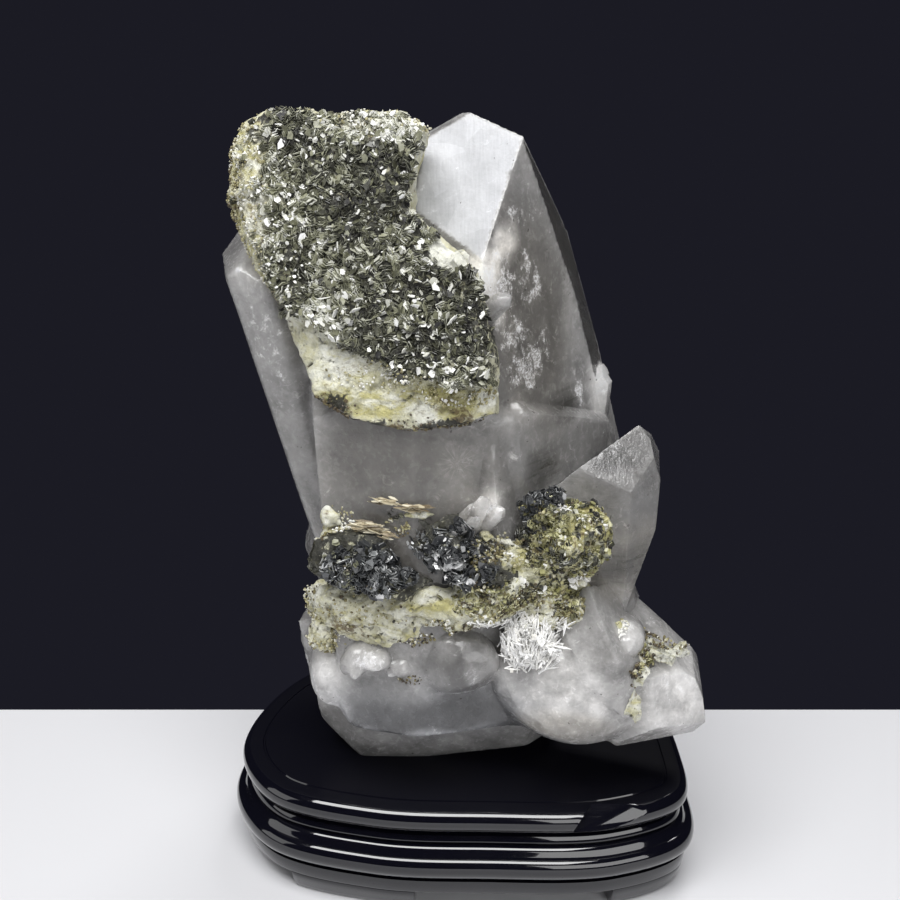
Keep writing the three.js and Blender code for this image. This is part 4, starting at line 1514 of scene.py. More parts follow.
@dataclass
class Slab:
    """The feldspar slab at the upper left and the crust of mica on its front."""

    cell: float = 0.7 * MM
    spacing: float = 0.4 * MM
    rock_relief: float = 1.0 * MM
    bed_relief: float = 0.6 * MM
    bed_sink: float = 0.7 * MM
    books: int = 2300
    leaves: int = 3
    loose: int = 1700
    grains: int = 2600
    large_glint: float = 3.0
    out: tuple[float, float] = (-6, 20)
    rock_paint: RockPaint = RockPaint(
        white=zones(
            (-50, -36, 200, 12, 20, 30, 0.5), (-36, -38, 183, 13, 14, 10, 0.8),
            (-18, -41, 175.5, 9, 10, 5, 1.0), (-12, -43, 170, 8, 8, 4, 0.9),
            (6, -43.5, 176, 4.5, 6, 5, 1.0),
        ),
        moss=zones(
            (-62, -24, 215, 10, 26, 46, 0.6), (-37, -39, 176, 9, 9, 5, 0.8),
            (-26, -40, 174, 9, 9, 5, 0.75), (-12, -42, 178, 16, 8, 3.5, 0.75),
            (-4, -43, 173, 9, 8, 4, 0.8),
        ),
        brown=zones(
            (-68, -24, 226, 5, 24, 34, 0.5), (-16, -40, 165, 30, 20, 6, 0.7),
            (-56, -26, 190, 8, 16, 18, 0.75), (-2, -43, 169.5, 5, 8, 4, 1.0),
            (-8, -43, 175, 10, 8, 3, 0.5),
        ),
        dark=zones(
            # The wide band round (-14, -36, 161) darkens the slab's underside along its lower edge: painted
            # shade under the slab
            (-38, -38, 171.5, 8, 10, 6, 1.0), (-14, -36, 161, 46, 24, 7, 1.0),
            (-8, -43, 167.5, 12, 9, 5, 1.0), (-28, -40, 167, 10, 9, 3.4, 0.9),
            (5, -42, 169, 5, 8, 3, 0.9), (-54, -28, 188, 6, 14, 22, 0.75), (8, -34, 190, 5, 14, 20, 0.75),
        ),
        base=(0.4, 0.4, 0.25, 0.1),
    )
    bed_paint: RockPaint = RockPaint(
        white=zones(
            (-60, -24, 225, 9, 30, 40, 0.8), (-5, -33, 214.5, 8, 9, 6.5, 1.0, 0.7),
            (-26, -22, 246, 24, 14, 8, 0.9), (-42, -36, 192, 10, 14, 8, 1.0),
        ),
        moss=zones(
            (-30, -30, 215, 60, 40, 50, 0.45), (-60, -24, 222, 11, 30, 44, 0.5),
            (-5, -33, 214.5, 8, 9, 6.5, 0.0, 0.7),
        ),
        brown=zones(
            (-67, -22, 232, 5, 30, 30, 0.6), (-17, -22, 235, 5, 10, 6, 0.9),
            (-5, -33, 214.5, 8, 9, 6.5, 0.0, 0.7),
        ),
        dark=zones(
            (-61, -24, 222, 12, 30, 42, 0.05), (-5, -33, 214.5, 8, 9, 6.5, 0.0, 0.7),
            (-26, -22, 246, 24, 14, 7, 0.2), (-42, -36, 192, 10, 14, 8, 0.2),
        ),
        base=(0.3, 0.3, 0.4, 0.9),
    )
    pale: tuple[Zone, ...] = zones(
        (-30, -30, 220, 34, 40, 44, 0.24), (-52, -26, 214, 18, 30, 40, 0.42),
        (-26, -22, 246, 24, 20, 6, 0.68), (-62, -20, 240, 14, 20, 12, 0.4),
        (-42, -34, 194, 14, 16, 12, 0.6), (-10, -40, 182, 16, 16, 7, 0.52),
        (-4, -38, 196, 16, 16, 16, 0.06), (-26, -26, 230, 18, 16, 12, 0.14),
    )

    def build(self) -> None:
        """Make the rock, the crust's bed and its flakes."""
        rock = covered(frame["nodes"]["upper_feldspar"], "slab_rock", Grid.ROUND, self.cell)
        stone = FeldsparFinish("slab_feldspar").made()
        dress_rock(rock, stone, self.rock_paint, "upper_feldspar", self.rock_relief, 11)
        bed = covered(frame["nodes"]["upper_mica"], "slab_mica_bed", Grid.ROUND, self.cell)
        dress_rock(bed, stone, self.bed_paint, "upper_mica", self.bed_relief, 12, self.bed_sink)
        random = np.random.default_rng(21)
        ground = Ground(("upper_mica",), self.spacing, 22)
        out = facing(*self.out)
        whole = Zone((-28, -38, 210), (90, 90, 90), 1.0, 0.9)
        flakes = Bed("slab_flakes", FINISHES[Mineral.DARK], 5)
        spots, outward = ground.pick(whole, self.books * 3, random)
        front = (outward @ out > 0.25) & (random.random(len(spots)) < self._cover(spots))
        spots, outward = spots[front][: self.books], outward[front][: self.books]
        tones = self._tones(spots, random)
        coarse = FlakeSize(1.3, 2.8, 0.15, 1.35, 0.55)
        deep = np.clip(-rough_noise(spots, 7 * MM, 31, 3), -0.3, 1)[:, None]
        sunk = spots - outward * (0.5 + 0.9 * deep) * MM
        add_books(flakes, sunk, outward, coarse, self.leaves, random, tones, 0.7, (0.0, 0.1, 0.8))
        spots, outward = ground.pick(whole, self.loose * 2, random)
        front = (outward @ out > 0.1) & (random.random(len(spots)) < self._cover(spots))
        spots, outward = spots[front][: self.loose], outward[front][: self.loose]
        tones = np.clip(self._tones(spots, random) + 0.12, 0, 1)
        single = FlakeSize(0.7, 2.2, 0.15)
        add_books(flakes, spots - outward * 0.3 * MM, outward, single, 1, random, tones, 0.1)
        self._glints(flakes, ground, random)
        flakes.build()
        self._grit(random)

    def _grit(self, random: Chance) -> None:
        """Add the sandy grains at the left edge, along the top and where the crust ends."""
        ground = Ground(("upper_feldspar", "upper_mica"), self.spacing, 24)
        grit = Bed("slab_grit", FINISHES[Mineral.GRIT])
        for zone, share, tone in (
            (Zone((-64, -24, 222), (10, 30, 42), 1.0, 0.7), 0.42, 0.8),
            (Zone((-68, -22, 222), (5, 30, 42), 1.0, 0.6), 0.1, 0.42),
            (Zone((-24, -20, 247), (26, 20, 6), 1.0, 0.6), 0.13, 0.86),
            (Zone((-24, -40, 181), (22, 10, 6), 1.0, 0.5), 0.1, 0.8),
            (Zone((-3, -43, 177), (14, 8, 5), 1.0, 0.5), 0.08, 0.76),
            (Zone((-38, -36, 171), (10, 10, 6), 1.0, 0.5), 0.06, 0.3),
            (Zone((-10, -42, 168), (16, 8, 4), 1.0, 0.5), 0.04, 0.25),
        ):
            spots, outward = ground.pick(zone, int(self.grains * share), random)
            sizes = random.uniform(0.35, 1.1, len(spots)) * MM
            patchy = rough_noise(spots, 3 * MM, 63, 2) * 0.22
            tones = np.clip(random.normal(tone, 0.13, len(spots)) + patchy, 0, 1)
            grit.add_grains(spots - outward * sizes[:, None] * 0.1, sizes, tones, random)
        grit.build()

    def _cover(self, places: np.ndarray) -> np.ndarray:
        """Return how likely a book grows at each place: less along the bare left edge."""
        left = Zone((-67, -24, 224), (14, 40, 42), 1.0, 0.6)
        low = Zone((-46, -34, 188), (6, 14, 8))
        corner = Zone((-62, -20, 244), (12, 24, 9), 1.0, 0.6)
        facet = Zone((-5, -33, 214.5), (6.5, 9, 5.5), 1.15, 0.8)
        return 1 - 0.87 * painted_amount(places, 0.0, (left, low, corner, facet))

    def _tones(self, places: np.ndarray, random: Chance) -> np.ndarray:
        """Return the tone of the books at their places: paler at the left, the top and the lower left.

        Args:
            places: Where the books sit.
            random: Where chance comes from.

        Returns:
            One tone a book.
        """
        pale = painted_amount(places, 0.16, self.pale)
        patch = rough_noise(places, 7 * MM, 31, 3) * 0.28
        spread = random.normal(0, 0.13, len(places)) + 0.46 * (random.random(len(places)) > 0.82)
        return np.clip(pale + patch + spread, 0.0, 0.97)

    def _glints(self, flakes: Bed, ground: Ground, random: Chance) -> None:
        """Add the large bright plates that stand for the crust's glints: flakes painted near white, which lie
        flatter.

        Args:
            flakes: Where the plates go.
            ground: The crust's outside.
            random: Where chance comes from.
        """
        zones = (
            (Zone((-28, -30, 216), (44, 40, 42), 1.0, 0.7), 200, 0.6, 1.8),
            (Zone((-28, -30, 216), (44, 40, 42), 1.0, 0.7), 34, 2.0, 3.3),
            (Zone((-56, -26, 214), (14, 30, 44), 1.0, 0.5), 330, 0.5, 1.6),
            (Zone((-42, -34, 194), (12, 16, 12)), 46, 1.2, 3.2),
            (Zone((-26, -22, 245), (26, 20, 8)), 170, 0.7, 2.2),
            (Zone((-8, -38, 196), (17, 20, 17)), 18, 2.4, 4.2),
            (Zone((-8, -38, 196), (17, 20, 17)), 130, 0.7, 2.4),
            (Zone((-6, -41, 182), (14, 14, 8)), 60, 1.2, 3.2),
        )
        out = facing(*self.out)
        for zone, count, least, most in zones:
            spots, outward = ground.pick(zone, count, random)
            front = (outward @ out > 0.5) & (random.random(len(spots)) < self._cover(spots) + 0.3)
            spots, outward = spots[front], outward[front]
            tones = np.clip(random.normal(0.95, 0.05, len(spots)), 0, 1)
            size = FlakeSize(least, most, 0.2, 1.25)
            large = most > self.large_glint
            lean = tuple(facing(-6, 50) * (0.9 if large else 0.5))
            lift = 0.45 if large else 0.1
            add_books(flakes, spots + out * lift * MM, outward, size, 1, random, tones, 0.4, lean)


@dataclass(frozen=True)
class Patch:
    """Flakes, strips, needles or grains that lie in a zone."""

    mineral: Mineral
    zone: Zone
    count: int
    least: float
    most: float
    tone: float
    spread: float = 0.12
    leaves: int = 1
    stand: float = 0.4
    stretch: float = 1.3
    thickness: float = 0.18
    lift: float = 0.0


def laid(*rows: Sequence[Any]) -> tuple[Patch, ...]:
    """Return a patch for each row of its mineral, its zone's row and the further fields in their order."""
    return tuple(Patch(row[0], zones(row[1])[0], *row[2:]) for row in rows)


@dataclass(frozen=True)
class Strips:
    """Long thin edges of mica that lie nearly level over the quartz."""

    at: Triple
    spread: Triple
    count: int
    length: float
    tone: float = 0.7
    rise: float = 0.1


@dataclass(frozen=True)
class Fan:
    """White blades in a zone that point away from a root, with their least and greatest half length."""

    zone: Zone
    root: Triple
    count: int
    least: float
    most: float


@dataclass
class Belt:
    """The rock, mica and albite round the waist of the cluster."""

    cell: float = 0.62 * MM
    spacing: float = 0.55 * MM
    rock_relief: float = 1.35 * MM
    mass_relief: float = 0.8 * MM
    hollow_depth: float = 1.1 * MM
    strip_thickness: float = 0.22 * MM
    blade_thickness: float = 0.26 * MM
    blobs: tuple[Blob, ...] = (
        Blob((-40, -32.5, 135), (4.6, 3.6, 4.2)),
        Blob((-41.5, -33, 129), (3.4, 3.2, 3.6)),
        Blob((-14.5, -39.8, 139.5), (5.5, 2.2, 1.8)),
        Blob((9.5, -41.0, 131.8), (3.4, 2.4, 1.8)),
        Blob((14.0, -41.0, 129.3), (4.0, 2.4, 2.0)),
        Blob((5.0, -42.5, 134), (2.6, 2.2, 2.4)),
        Blob((37, -42.0, 135.2), (2.0, 1.5, 1.9)),
        Blob((33, -39.5, 117.5), (3.5, 2.4, 1.6)),
        Blob((45.0, -39.8, 102.6), (1.8, 1.6, 2.2)),
        Blob((-33, -36.5, 102), (11, 4.6, 6)),
        Blob((-20, -39.5, 102), (8, 3.6, 5)),
        Blob((-44, -31, 97), (5, 4.5, 6)),
        Blob((21, -38.5, 104), (8, 4, 5)),
    )
    rock_paint: RockPaint = RockPaint(
        white=zones(
            (-48, -30, 109, 7, 9, 10, 1.0), (-40, -34, 136, 6, 5, 5, 1.0),
            (-14.5, -41, 139.5, 7, 4, 3, 1.0), (-9, -46, 117, 12, 6, 4, 0.95),
            (10, -42, 132, 10, 6, 5, 0.95), (37, -43, 135, 3, 3, 3, 1.0), (33, -41, 117, 5, 4, 3, 1.0),
            (-26, -44, 107, 14, 8, 6, 0.6),
        ),
        moss=zones(
            (17, -43, 126, 8, 6, 5, 1.0), (-9, -46, 112.5, 12, 5, 3, 0.8),
            (24, -42, 116, 14, 8, 12, 0.65), (6, -46, 114, 12, 6, 6, 0.55),
            (-42, -35, 129, 5, 5, 5, 0.75), (45, -41, 103, 4, 4, 4, 0.5),
        ),
        brown=zones(
            (14, -45, 113, 16, 8, 5, 0.7), (-36, -38, 101, 8, 6, 5, 0.75), (28, -44, 112, 12, 8, 6, 0.6),
            (8, -42, 130, 4, 4, 3, 0.5),
        ),
        dark=zones(
            (0, -46, 119, 16, 6, 3, 0.6), (14, -44, 118, 12, 6, 4, 0.5), (26, -44, 119, 10, 6, 4, 0.5),
        ),
        base=(0.5, 0.4, 0.24, 0.14),
    )
    gold_paint: RockPaint = RockPaint(
        white=zones((26, -43, 142, 4, 4, 3, 1.0)),
        dark=zones((25, -41, 147.5, 6, 5, 3.4, 1.0), (17, -40, 132, 3, 5, 4, 0.9)),
        base=(0.35, 0.85, 0.45, 0.2),
    )
    mass_paint: RockPaint = RockPaint(
        moss=zones((28, -42, 134, 16, 10, 16, 0.7)),
        brown=zones((28, -42, 128, 14, 10, 12, 0.4)),
        dark=zones(
            (28, -42, 134, 14, 10, 16, 0.3), (25, -41, 147, 7, 5, 4, 1.0), (-12, -42, 124, 5, 5, 4, 1.0),
        ),
        base=(0.35, 0.35, 0.3, 0.95),
    )
    corner_paint: RockPaint = RockPaint(
        white=zones((52, -42, 92, 16, 14, 16, 0.9)),
        brown=zones((50, -44, 93, 7, 6, 4, 0.7), (45, -48, 85, 4, 4, 5, 0.4)),
        dark=zones((46, -47, 89, 4, 4, 4, 0.4)),
        moss=zones((53, -43, 96, 6, 6, 5, 0.5)),
        base=(0.7, 0.35, 0.3, 0.15),
    )
    patches: tuple[Patch, ...] = laid(
        # The left mass
        (Mineral.SLATE, (-30, -44, 125, 11, 8, 8, 1, 0.8), 90, 3.0, 5.5, 0.28, 0.15, 2, 0.0, 1.2, 0.2, -0.8),
        (Mineral.SLATE, (-31, -45, 123, 14, 8, 9, 1, 0.8), 300, 1.2, 3.0, 0.42, 0.24, 2, 0.3, 1.5, 0.14, 0.0),
        # Near-white flakes on the dark mica: painted glints
        (Mineral.SLATE, (-30, -46, 121, 15, 8, 9), 110, 0.5, 1.6, 0.93, 0.05, 1, 0.2, 1.3, 0.14, 0.3),
        (Mineral.DARK, (-36, -43, 124, 8, 8, 9), 60, 1.0, 2.4, 0.5, 0.2, 2, 0.2, 1.4, 0.16, 0.0),
        (Mineral.GRIT, (-34, -46, 117, 14, 8, 3), 150, 0.4, 1.2, 0.55, 0.3),
        # The middle mass
        (Mineral.SLATE, (-5, -46, 131, 9, 8, 9, 1, 0.8), 80, 2.6, 5.0, 0.26, 0.17, 2, 0.1, 1.2, 0.2, -0.6),
        (Mineral.SLATE, (-4, -47, 126, 13, 8, 7, 1, 0.8), 90, 2.0, 4.4, 0.26, 0.2, 2, 0.1, 1.3, 0.2, -0.4),
        (Mineral.SLATE, (-4, -46, 129, 13, 8, 10, 1, 0.8), 240, 0.9, 2.4, 0.42, 0.26, 2, 0.3, 1.5, 0.14, 0.1),
        # Near-white flakes on the dark mica, in this row and the next: painted glints
        (Mineral.SLATE, (-4, -47, 131, 10, 6, 8), 60, 0.6, 1.8, 0.95, 0.04, 1, 0.2, 1.3, 0.16, 0.3),
        (Mineral.SLATE, (-5.5, -48, 127, 5.5, 4, 2.6), 26, 2.2, 4.4, 0.97, 0.03, 1, 0.0, 1.2, 0.22, 0.5),
        (Mineral.SLATE, (-4, -48, 123, 7, 4, 3), 22, 1.6, 3.2, 0.93, 0.05, 1, 0.2, 1.2, 0.2, 0.4),
        (Mineral.SLATE, (-14, -43, 131, 6, 4, 5), 60, 0.8, 2.0, 0.6, 0.28, 1, 0.2, 1.2, 0.16, 0.2),
        (Mineral.GRIT, (4, -46, 130, 7, 6, 6), 180, 0.5, 1.3, 0.72, 0.18),
        (Mineral.GRIT, (2, -47, 121, 12, 6, 3), 150, 0.4, 1.1, 0.4, 0.25),
        # The right mass
        (Mineral.GOLD, (29, -43, 134, 15, 12, 16, 1, 0.85), 560, 0.8, 2.2, 0.47, 0.2, 3, 0.4, 1.3, 0.18, -0.2),
        (Mineral.GOLD, (24, -45, 138, 9, 6, 6), 170, 0.8, 1.8, 0.68, 0.14, 2, 0.3, 1.3, 0.16, 0.1),
        (Mineral.GOLD, (30, -45, 128, 9, 6, 5), 120, 0.8, 1.8, 0.6, 0.16, 2, 0.3, 1.3, 0.16, 0.1),
        (Mineral.GRIT, (29, -43, 134, 15, 12, 16, 1, 0.85), 420, 0.5, 1.6, 0.45, 0.25),
        (Mineral.DARK, (29, -43, 134, 15, 12, 16, 1, 0.85), 240, 0.8, 2.4, 0.12, 0.14, 2, 0.4, 1.4, 0.18, 0.4),
        (Mineral.DARK, (31, -44, 127, 9, 8, 4), 90, 0.8, 2.2, 0.1, 0.12, 2, 0.4, 1.4, 0.18, 0.5),
        (Mineral.GRIT, (36, -42, 137, 5, 6, 6), 90, 0.6, 1.5, 0.82, 0.14),
        (Mineral.DARK, (31, -44, 130, 11, 8, 11), 50, 0.8, 1.9, 0.9, 0.06, 1, 0.2, 1.3, 0.18, 0.3),
        (Mineral.GOLD, (18, -44, 125, 7, 5, 4), 60, 0.7, 1.6, 0.6, 0.15, 2, 0.2, 1.3, 0.18, -0.2),
        (Mineral.SLATE, (24, -42, 147, 8, 5, 4), 150, 1.4, 3.2, 0.12, 0.12, 2, 0.5, 1.3, 0.2, 0.2),
        (Mineral.SLATE, (17, -40, 140, 5, 6, 8), 110, 1.2, 2.8, 0.2, 0.2, 2, 0.4, 1.3, 0.2, 0.2),
        (Mineral.DARK, (33, -42, 144, 5, 4, 3), 22, 1.2, 2.4, 0.3, 0.2, 2, 0.5, 1.3, 0.2, 0.0),
        (Mineral.ALBITE, (26, -43, 143, 4, 3, 2), 30, 1.2, 2.6, 0.9, 0.08, 1, 0.1, 1.3, 0.25, 0.3),
        (Mineral.DARK, (16, -38, 133, 2.6, 4, 4), 34, 1.2, 2.8, 0.1, 0.1, 3, 0.6, 1.3, 0.2, 0.0),
        (Mineral.DARK, (28.2, -47, 128.5, 2.4, 3, 1.8), 8, 1.4, 2.4, 0.97, 0.02, 1, 0.0, 1.2, 0.2, 0.5),
        (Mineral.DARK, (15.6, -45, 120.2, 2.6, 3, 1.8), 8, 1.2, 2.2, 0.97, 0.02, 1, 0.0, 1.2, 0.2, 0.5),
        (Mineral.ALBITE, (33, -42, 118, 4.5, 3, 2), 12, 1.6, 3.4, 0.9, 0.08, 1, 0.0, 1.3, 0.3, 0.3),
        (Mineral.GRIT, (10, -43, 131, 9, 5, 4), 150, 0.4, 1.3, 0.78, 0.16),
        (Mineral.GRIT, (15, -42, 127, 8, 5, 4), 120, 0.4, 1.2, 0.66, 0.16),
        (Mineral.SLATE, (-19, -44, 121.5, 8, 6, 3), 70, 1.0, 3.0, 0.25, 0.2, 2, 0.1, 1.4, 0.16, 0.0),
        (Mineral.SLATE, (6, -45, 122, 8, 6, 4), 90, 1.0, 2.6, 0.35, 0.25, 2, 0.1, 1.4, 0.16, 0.0),
        (Mineral.GRIT, (-38, -35, 134, 7, 6, 7), 200, 0.4, 1.2, 0.7, 0.2),
        # Grit in the belt
        (Mineral.GRIT, (10, -46, 114, 18, 8, 7), 620, 0.5, 1.3, 0.42, 0.2),
        (Mineral.GOLD, (8, -46, 115, 18, 8, 7), 230, 0.8, 1.8, 0.5, 0.2, 2, 0.3, 1.5, 0.16, 0.0),
        (Mineral.DARK, (12, -46, 117, 18, 8, 6), 70, 0.8, 2.2, 0.5, 0.3, 1, 0.3, 1.5, 0.16, 0.1),
        (Mineral.GRIT, (26, -43, 110, 13, 8, 8), 420, 0.5, 1.4, 0.45, 0.22),
        (Mineral.GOLD, (28, -43, 113, 12, 8, 8), 150, 0.8, 1.8, 0.5, 0.2, 2, 0.3, 1.5, 0.16, 0.0),
        (Mineral.GRIT, (-44, -34, 96, 8, 8, 8), 420, 0.5, 1.2, 0.66, 0.2),
        (Mineral.GRIT, (-36, -38, 100, 8, 6, 4), 170, 0.5, 1.3, 0.32, 0.15),
        (Mineral.GRIT, (-42, -34, 129, 5, 6, 7), 230, 0.5, 1.1, 0.68, 0.15),
        (Mineral.GRIT, (-20.5, -40, 136, 4, 4, 2.6), 90, 0.5, 1.3, 0.7, 0.15),
        (Mineral.GRIT, (-21, -41, 133.5, 4, 3, 1.6), 36, 0.5, 1.1, 0.28, 0.1),
        (Mineral.DARK, (-21.5, -40, 139, 4, 3, 2.4), 16, 1.0, 2.4, 0.22, 0.12, 2, 0.3),
        (Mineral.GRIT, (-15, -43, 99, 9, 4, 3), 130, 0.4, 1.2, 0.5, 0.35),
        (Mineral.GRIT, (-4, -45.5, 105, 11, 5, 3), 170, 0.4, 1.2, 0.6, 0.35),
        (Mineral.DARK, (-6, -46, 106, 10, 4, 3), 30, 0.9, 2.0, 0.9, 0.1, 1, 0.2),
        (Mineral.GRIT, (-19, -43, 85, 6, 4, 3), 60, 0.4, 1.2, 0.25, 0.18),
        (Mineral.GRIT, (-12, -42, 87, 1.6, 3, 3), 12, 0.5, 1.1, 0.12, 0.05),
        (Mineral.GRIT, (-10, -41.5, 83, 1.4, 3, 2.4), 9, 0.5, 1.0, 0.15, 0.05),
        (Mineral.GRIT, (-4, -41, 77.2, 4, 3, 0.8), 9, 0.5, 1.0, 0.2, 0.05),
        (Mineral.GRIT, (-28, -44, 110, 24, 8, 12), 60, 0.4, 1.3, 0.36, 0.2),
        (Mineral.GRIT, (-34, -42, 108, 20, 8, 10), 170, 0.3, 1.1, 0.72, 0.16),
        (Mineral.GRIT, (-48, -30, 104, 7, 8, 12), 120, 0.3, 1.1, 0.6, 0.2),
        # Needles and white flakes below the belt
        (Mineral.ALBITE, (19, -42, 107, 8, 5, 4), 90, 0.5, 1.1, 0.8, 0.12, 1, 0.5, 4.0, 0.25, 0.2),
        (Mineral.ALBITE, (5, -47, 107, 7, 4, 3), 60, 0.5, 1.0, 0.8, 0.12, 1, 0.5, 3.0, 0.25, 0.1),
        (Mineral.DARK, (16.3, -44.6, 105.4, 1.4, 2, 1.4), 3, 2.2, 2.6, 0.98, 0.01, 1, 0.0, 1.1, 0.3, 0.6),
        # The corner crystal
        (Mineral.GRIT, (51, -44, 94, 6, 6, 4), 200, 0.5, 1.4, 0.36, 0.2),
        (Mineral.GRIT, (49, -46, 91, 5, 5, 4), 170, 0.4, 1.4, 0.26, 0.2),
        (Mineral.GRIT, (46, -47, 87, 4.5, 6, 5), 130, 0.4, 1.3, 0.42, 0.33),
        (Mineral.GRIT, (41.5, -43, 91.5, 6, 5, 1.3), 70, 0.4, 1.2, 0.16, 0.08),
        (Mineral.GRIT, (60, -36, 97, 10, 9, 6), 130, 0.4, 1.2, 0.42, 0.28),
        (Mineral.GRIT, (66, -32, 92, 4, 6, 4), 40, 0.5, 1.3, 0.3, 0.25),
        (Mineral.GRIT, (44.5, -40.5, 103.0, 4, 5, 4.5), 110, 0.5, 1.4, 0.84, 0.1),
        (Mineral.GOLD, (52, -43, 93, 8, 8, 5), 60, 0.9, 2.0, 0.5, 0.25, 2, 0.3),
        (Mineral.DARK, (46, -48, 84, 3, 5, 5), 24, 0.8, 2.0, 0.7, 0.35, 1, 0.3),
        (Mineral.DARK, (45.4, -49, 80.6, 1.3, 2, 1.3), 3, 2.4, 2.9, 0.98, 0.01, 1, 0.0, 1.1, 0.3, 0.6),
        # Pale flakes below the white plate: painted glints
        (Mineral.DARK, (47.4, -49, 78.2, 1.5, 2, 1.2), 6, 1.0, 1.8, 0.8, 0.2, 1, 0.1, 1.2, 0.2, 0.3),
    )
    strips: tuple[Strips, ...] = (
        Strips((-24.0, -39.6, 143.6), (3, 1, 1.0), 22, 6.5, 0.62, -0.16),
        Strips((-15.5, -41.2, 142.2), (3.4, 1, 0.9), 24, 7.0, 0.5, 0.04),
        Strips((-29.5, -40.2, 135.4), (3.6, 1.2, 1.6), 44, 7.0, 0.58, -0.02),
        Strips((-24.0, -41.0, 133.4), (3, 1, 0.9), 18, 4.6, 0.5, -0.3),
        Strips((-35.0, -43.0, 124.0), (4, 1, 0.5), 7, 6.0, 0.85, -0.05),
    )
    fans: tuple[Fan, ...] = (
        Fan(Zone((19, -43, 98), (10, 12, 10), 1.0, 0.5), (17.5, -43, 88), 520, 1.8, 4.0),
        Fan(Zone((14, -44, 98), (6, 9, 8), 1.0, 0.5), (17, -42, 90), 180, 1.4, 3.0),
        Fan(Zone((25, -42, 101), (8, 9, 7), 1.0, 0.5), (17, -40, 92), 200, 1.6, 3.8),
        Fan(Zone((13, -45, 106), (7, 9, 4), 1.0, 0.5), (15, -42, 97), 90, 1.2, 2.6),
    )

    def build(self) -> None:
        """Make the belt's rock, its mica masses, its grains and its albite."""
        random = np.random.default_rng(40)
        rock = grown("lower_feldspar", "belt_rock", self.blobs, random, Grid.ROUND, self.cell)
        stone = FeldsparFinish("belt_feldspar").made()
        dress_rock(rock, stone, self.rock_paint, "lower_feldspar", self.rock_relief, 14)
        masses = (
            ("lower_mica_left", "mica", self.mass_paint, 41, 0.7),
            ("lower_mica_middle", "mica", self.mass_paint, 42, 0.7),
            ("lower_mica_right", "gold_mica", self.gold_paint, 43, 0.3),
            ("corner_mica", "gold_mica", self.corner_paint, 44, 2.2),
        )
        for node, slot, paint, seed, sink in masses:
            bed = covered(frame["nodes"][node], f"{node}_bed", Grid.ROUND, self.cell)
            dress_rock(bed, stone, paint, node, self.mass_relief, seed, sink * MM)
        self._scatter()
        self._albite()

    def _scatter(self) -> None:
        """Set the flakes and grains on the quartz, the rock and the masses."""
        random = np.random.default_rng(45)
        nodes = (
            "quartz_cluster", "lower_feldspar", "lower_mica_left", "lower_mica_middle", "lower_mica_right",
            "corner_mica", "albite_spray",
        )
        ground = Ground(nodes, self.spacing, 46)
        beds = {mineral: Bed(f"belt_{mineral.value}", finish) for mineral, finish in FINISHES.items()}
        for patch in self.patches:
            spots, outward = ground.pick(patch.zone, patch.count, random)
            count = len(spots)
            patchy = rough_noise(spots, 3.4 * MM, 61, 2) if count else np.zeros(0)
            deep = np.clip(rough_noise(spots, 4.6 * MM, 62, 2) * 1.3, 0, 1) if count else np.zeros(0)
            spots = spots - outward * deep[:, None] * self.hollow_depth
            # Flakes sunk deeper into a hollow get a darker tone: painted shade in the hollows
            tones = random.normal(patch.tone, patch.spread, count) + 0.3 * patchy - 0.4 * patch.tone * deep
            tones = np.clip(tones, 0, 1)
            if patch.mineral is Mineral.GRIT:
                sizes = random.uniform(patch.least, patch.most, count) * MM
                beds[patch.mineral].add_grains(spots - outward * sizes[:, None] * 0.1, sizes, tones, random)
                continue
            size = FlakeSize(patch.least, patch.most, patch.thickness, patch.stretch)
            raised = spots + outward * patch.lift * MM
            add_books(beds[patch.mineral], raised, outward, size, patch.leaves, random, tones, patch.stand)
        for strips in self.strips:
            self._add_strips(beds[Mineral.TAN], strips, random)
        for bed in beds.values():
            if bed.count:
                bed.build()

    def _add_strips(self, bed: Bed, strips: Strips, random: Chance) -> None:
        """Add one group of nearly level strips.

        Args:
            bed: Where the strips go.
            strips: The group.
            random: Where chance comes from.
        """
        count = strips.count
        middles = place(*strips.at) + random.uniform(-1, 1, (count, 3)) * np.array(strips.spread) * MM
        along = np.array([1.0, -0.1, strips.rise]) + random.normal(0, 0.09, (count, 3))
        flats = np.array([0.0, -0.45, 0.9]) + random.normal(0, 0.25, (count, 3))
        half = random.uniform(0.55, 1.0, count) * strips.length * MM / 2
        tones = np.clip(random.normal(strips.tone, 0.24, count), 0, 1)
        wide = random.uniform(0.2, 0.5, count) * MM
        bed.add_plates(middles, flats, along, half, wide, self.strip_thickness, tones, random)

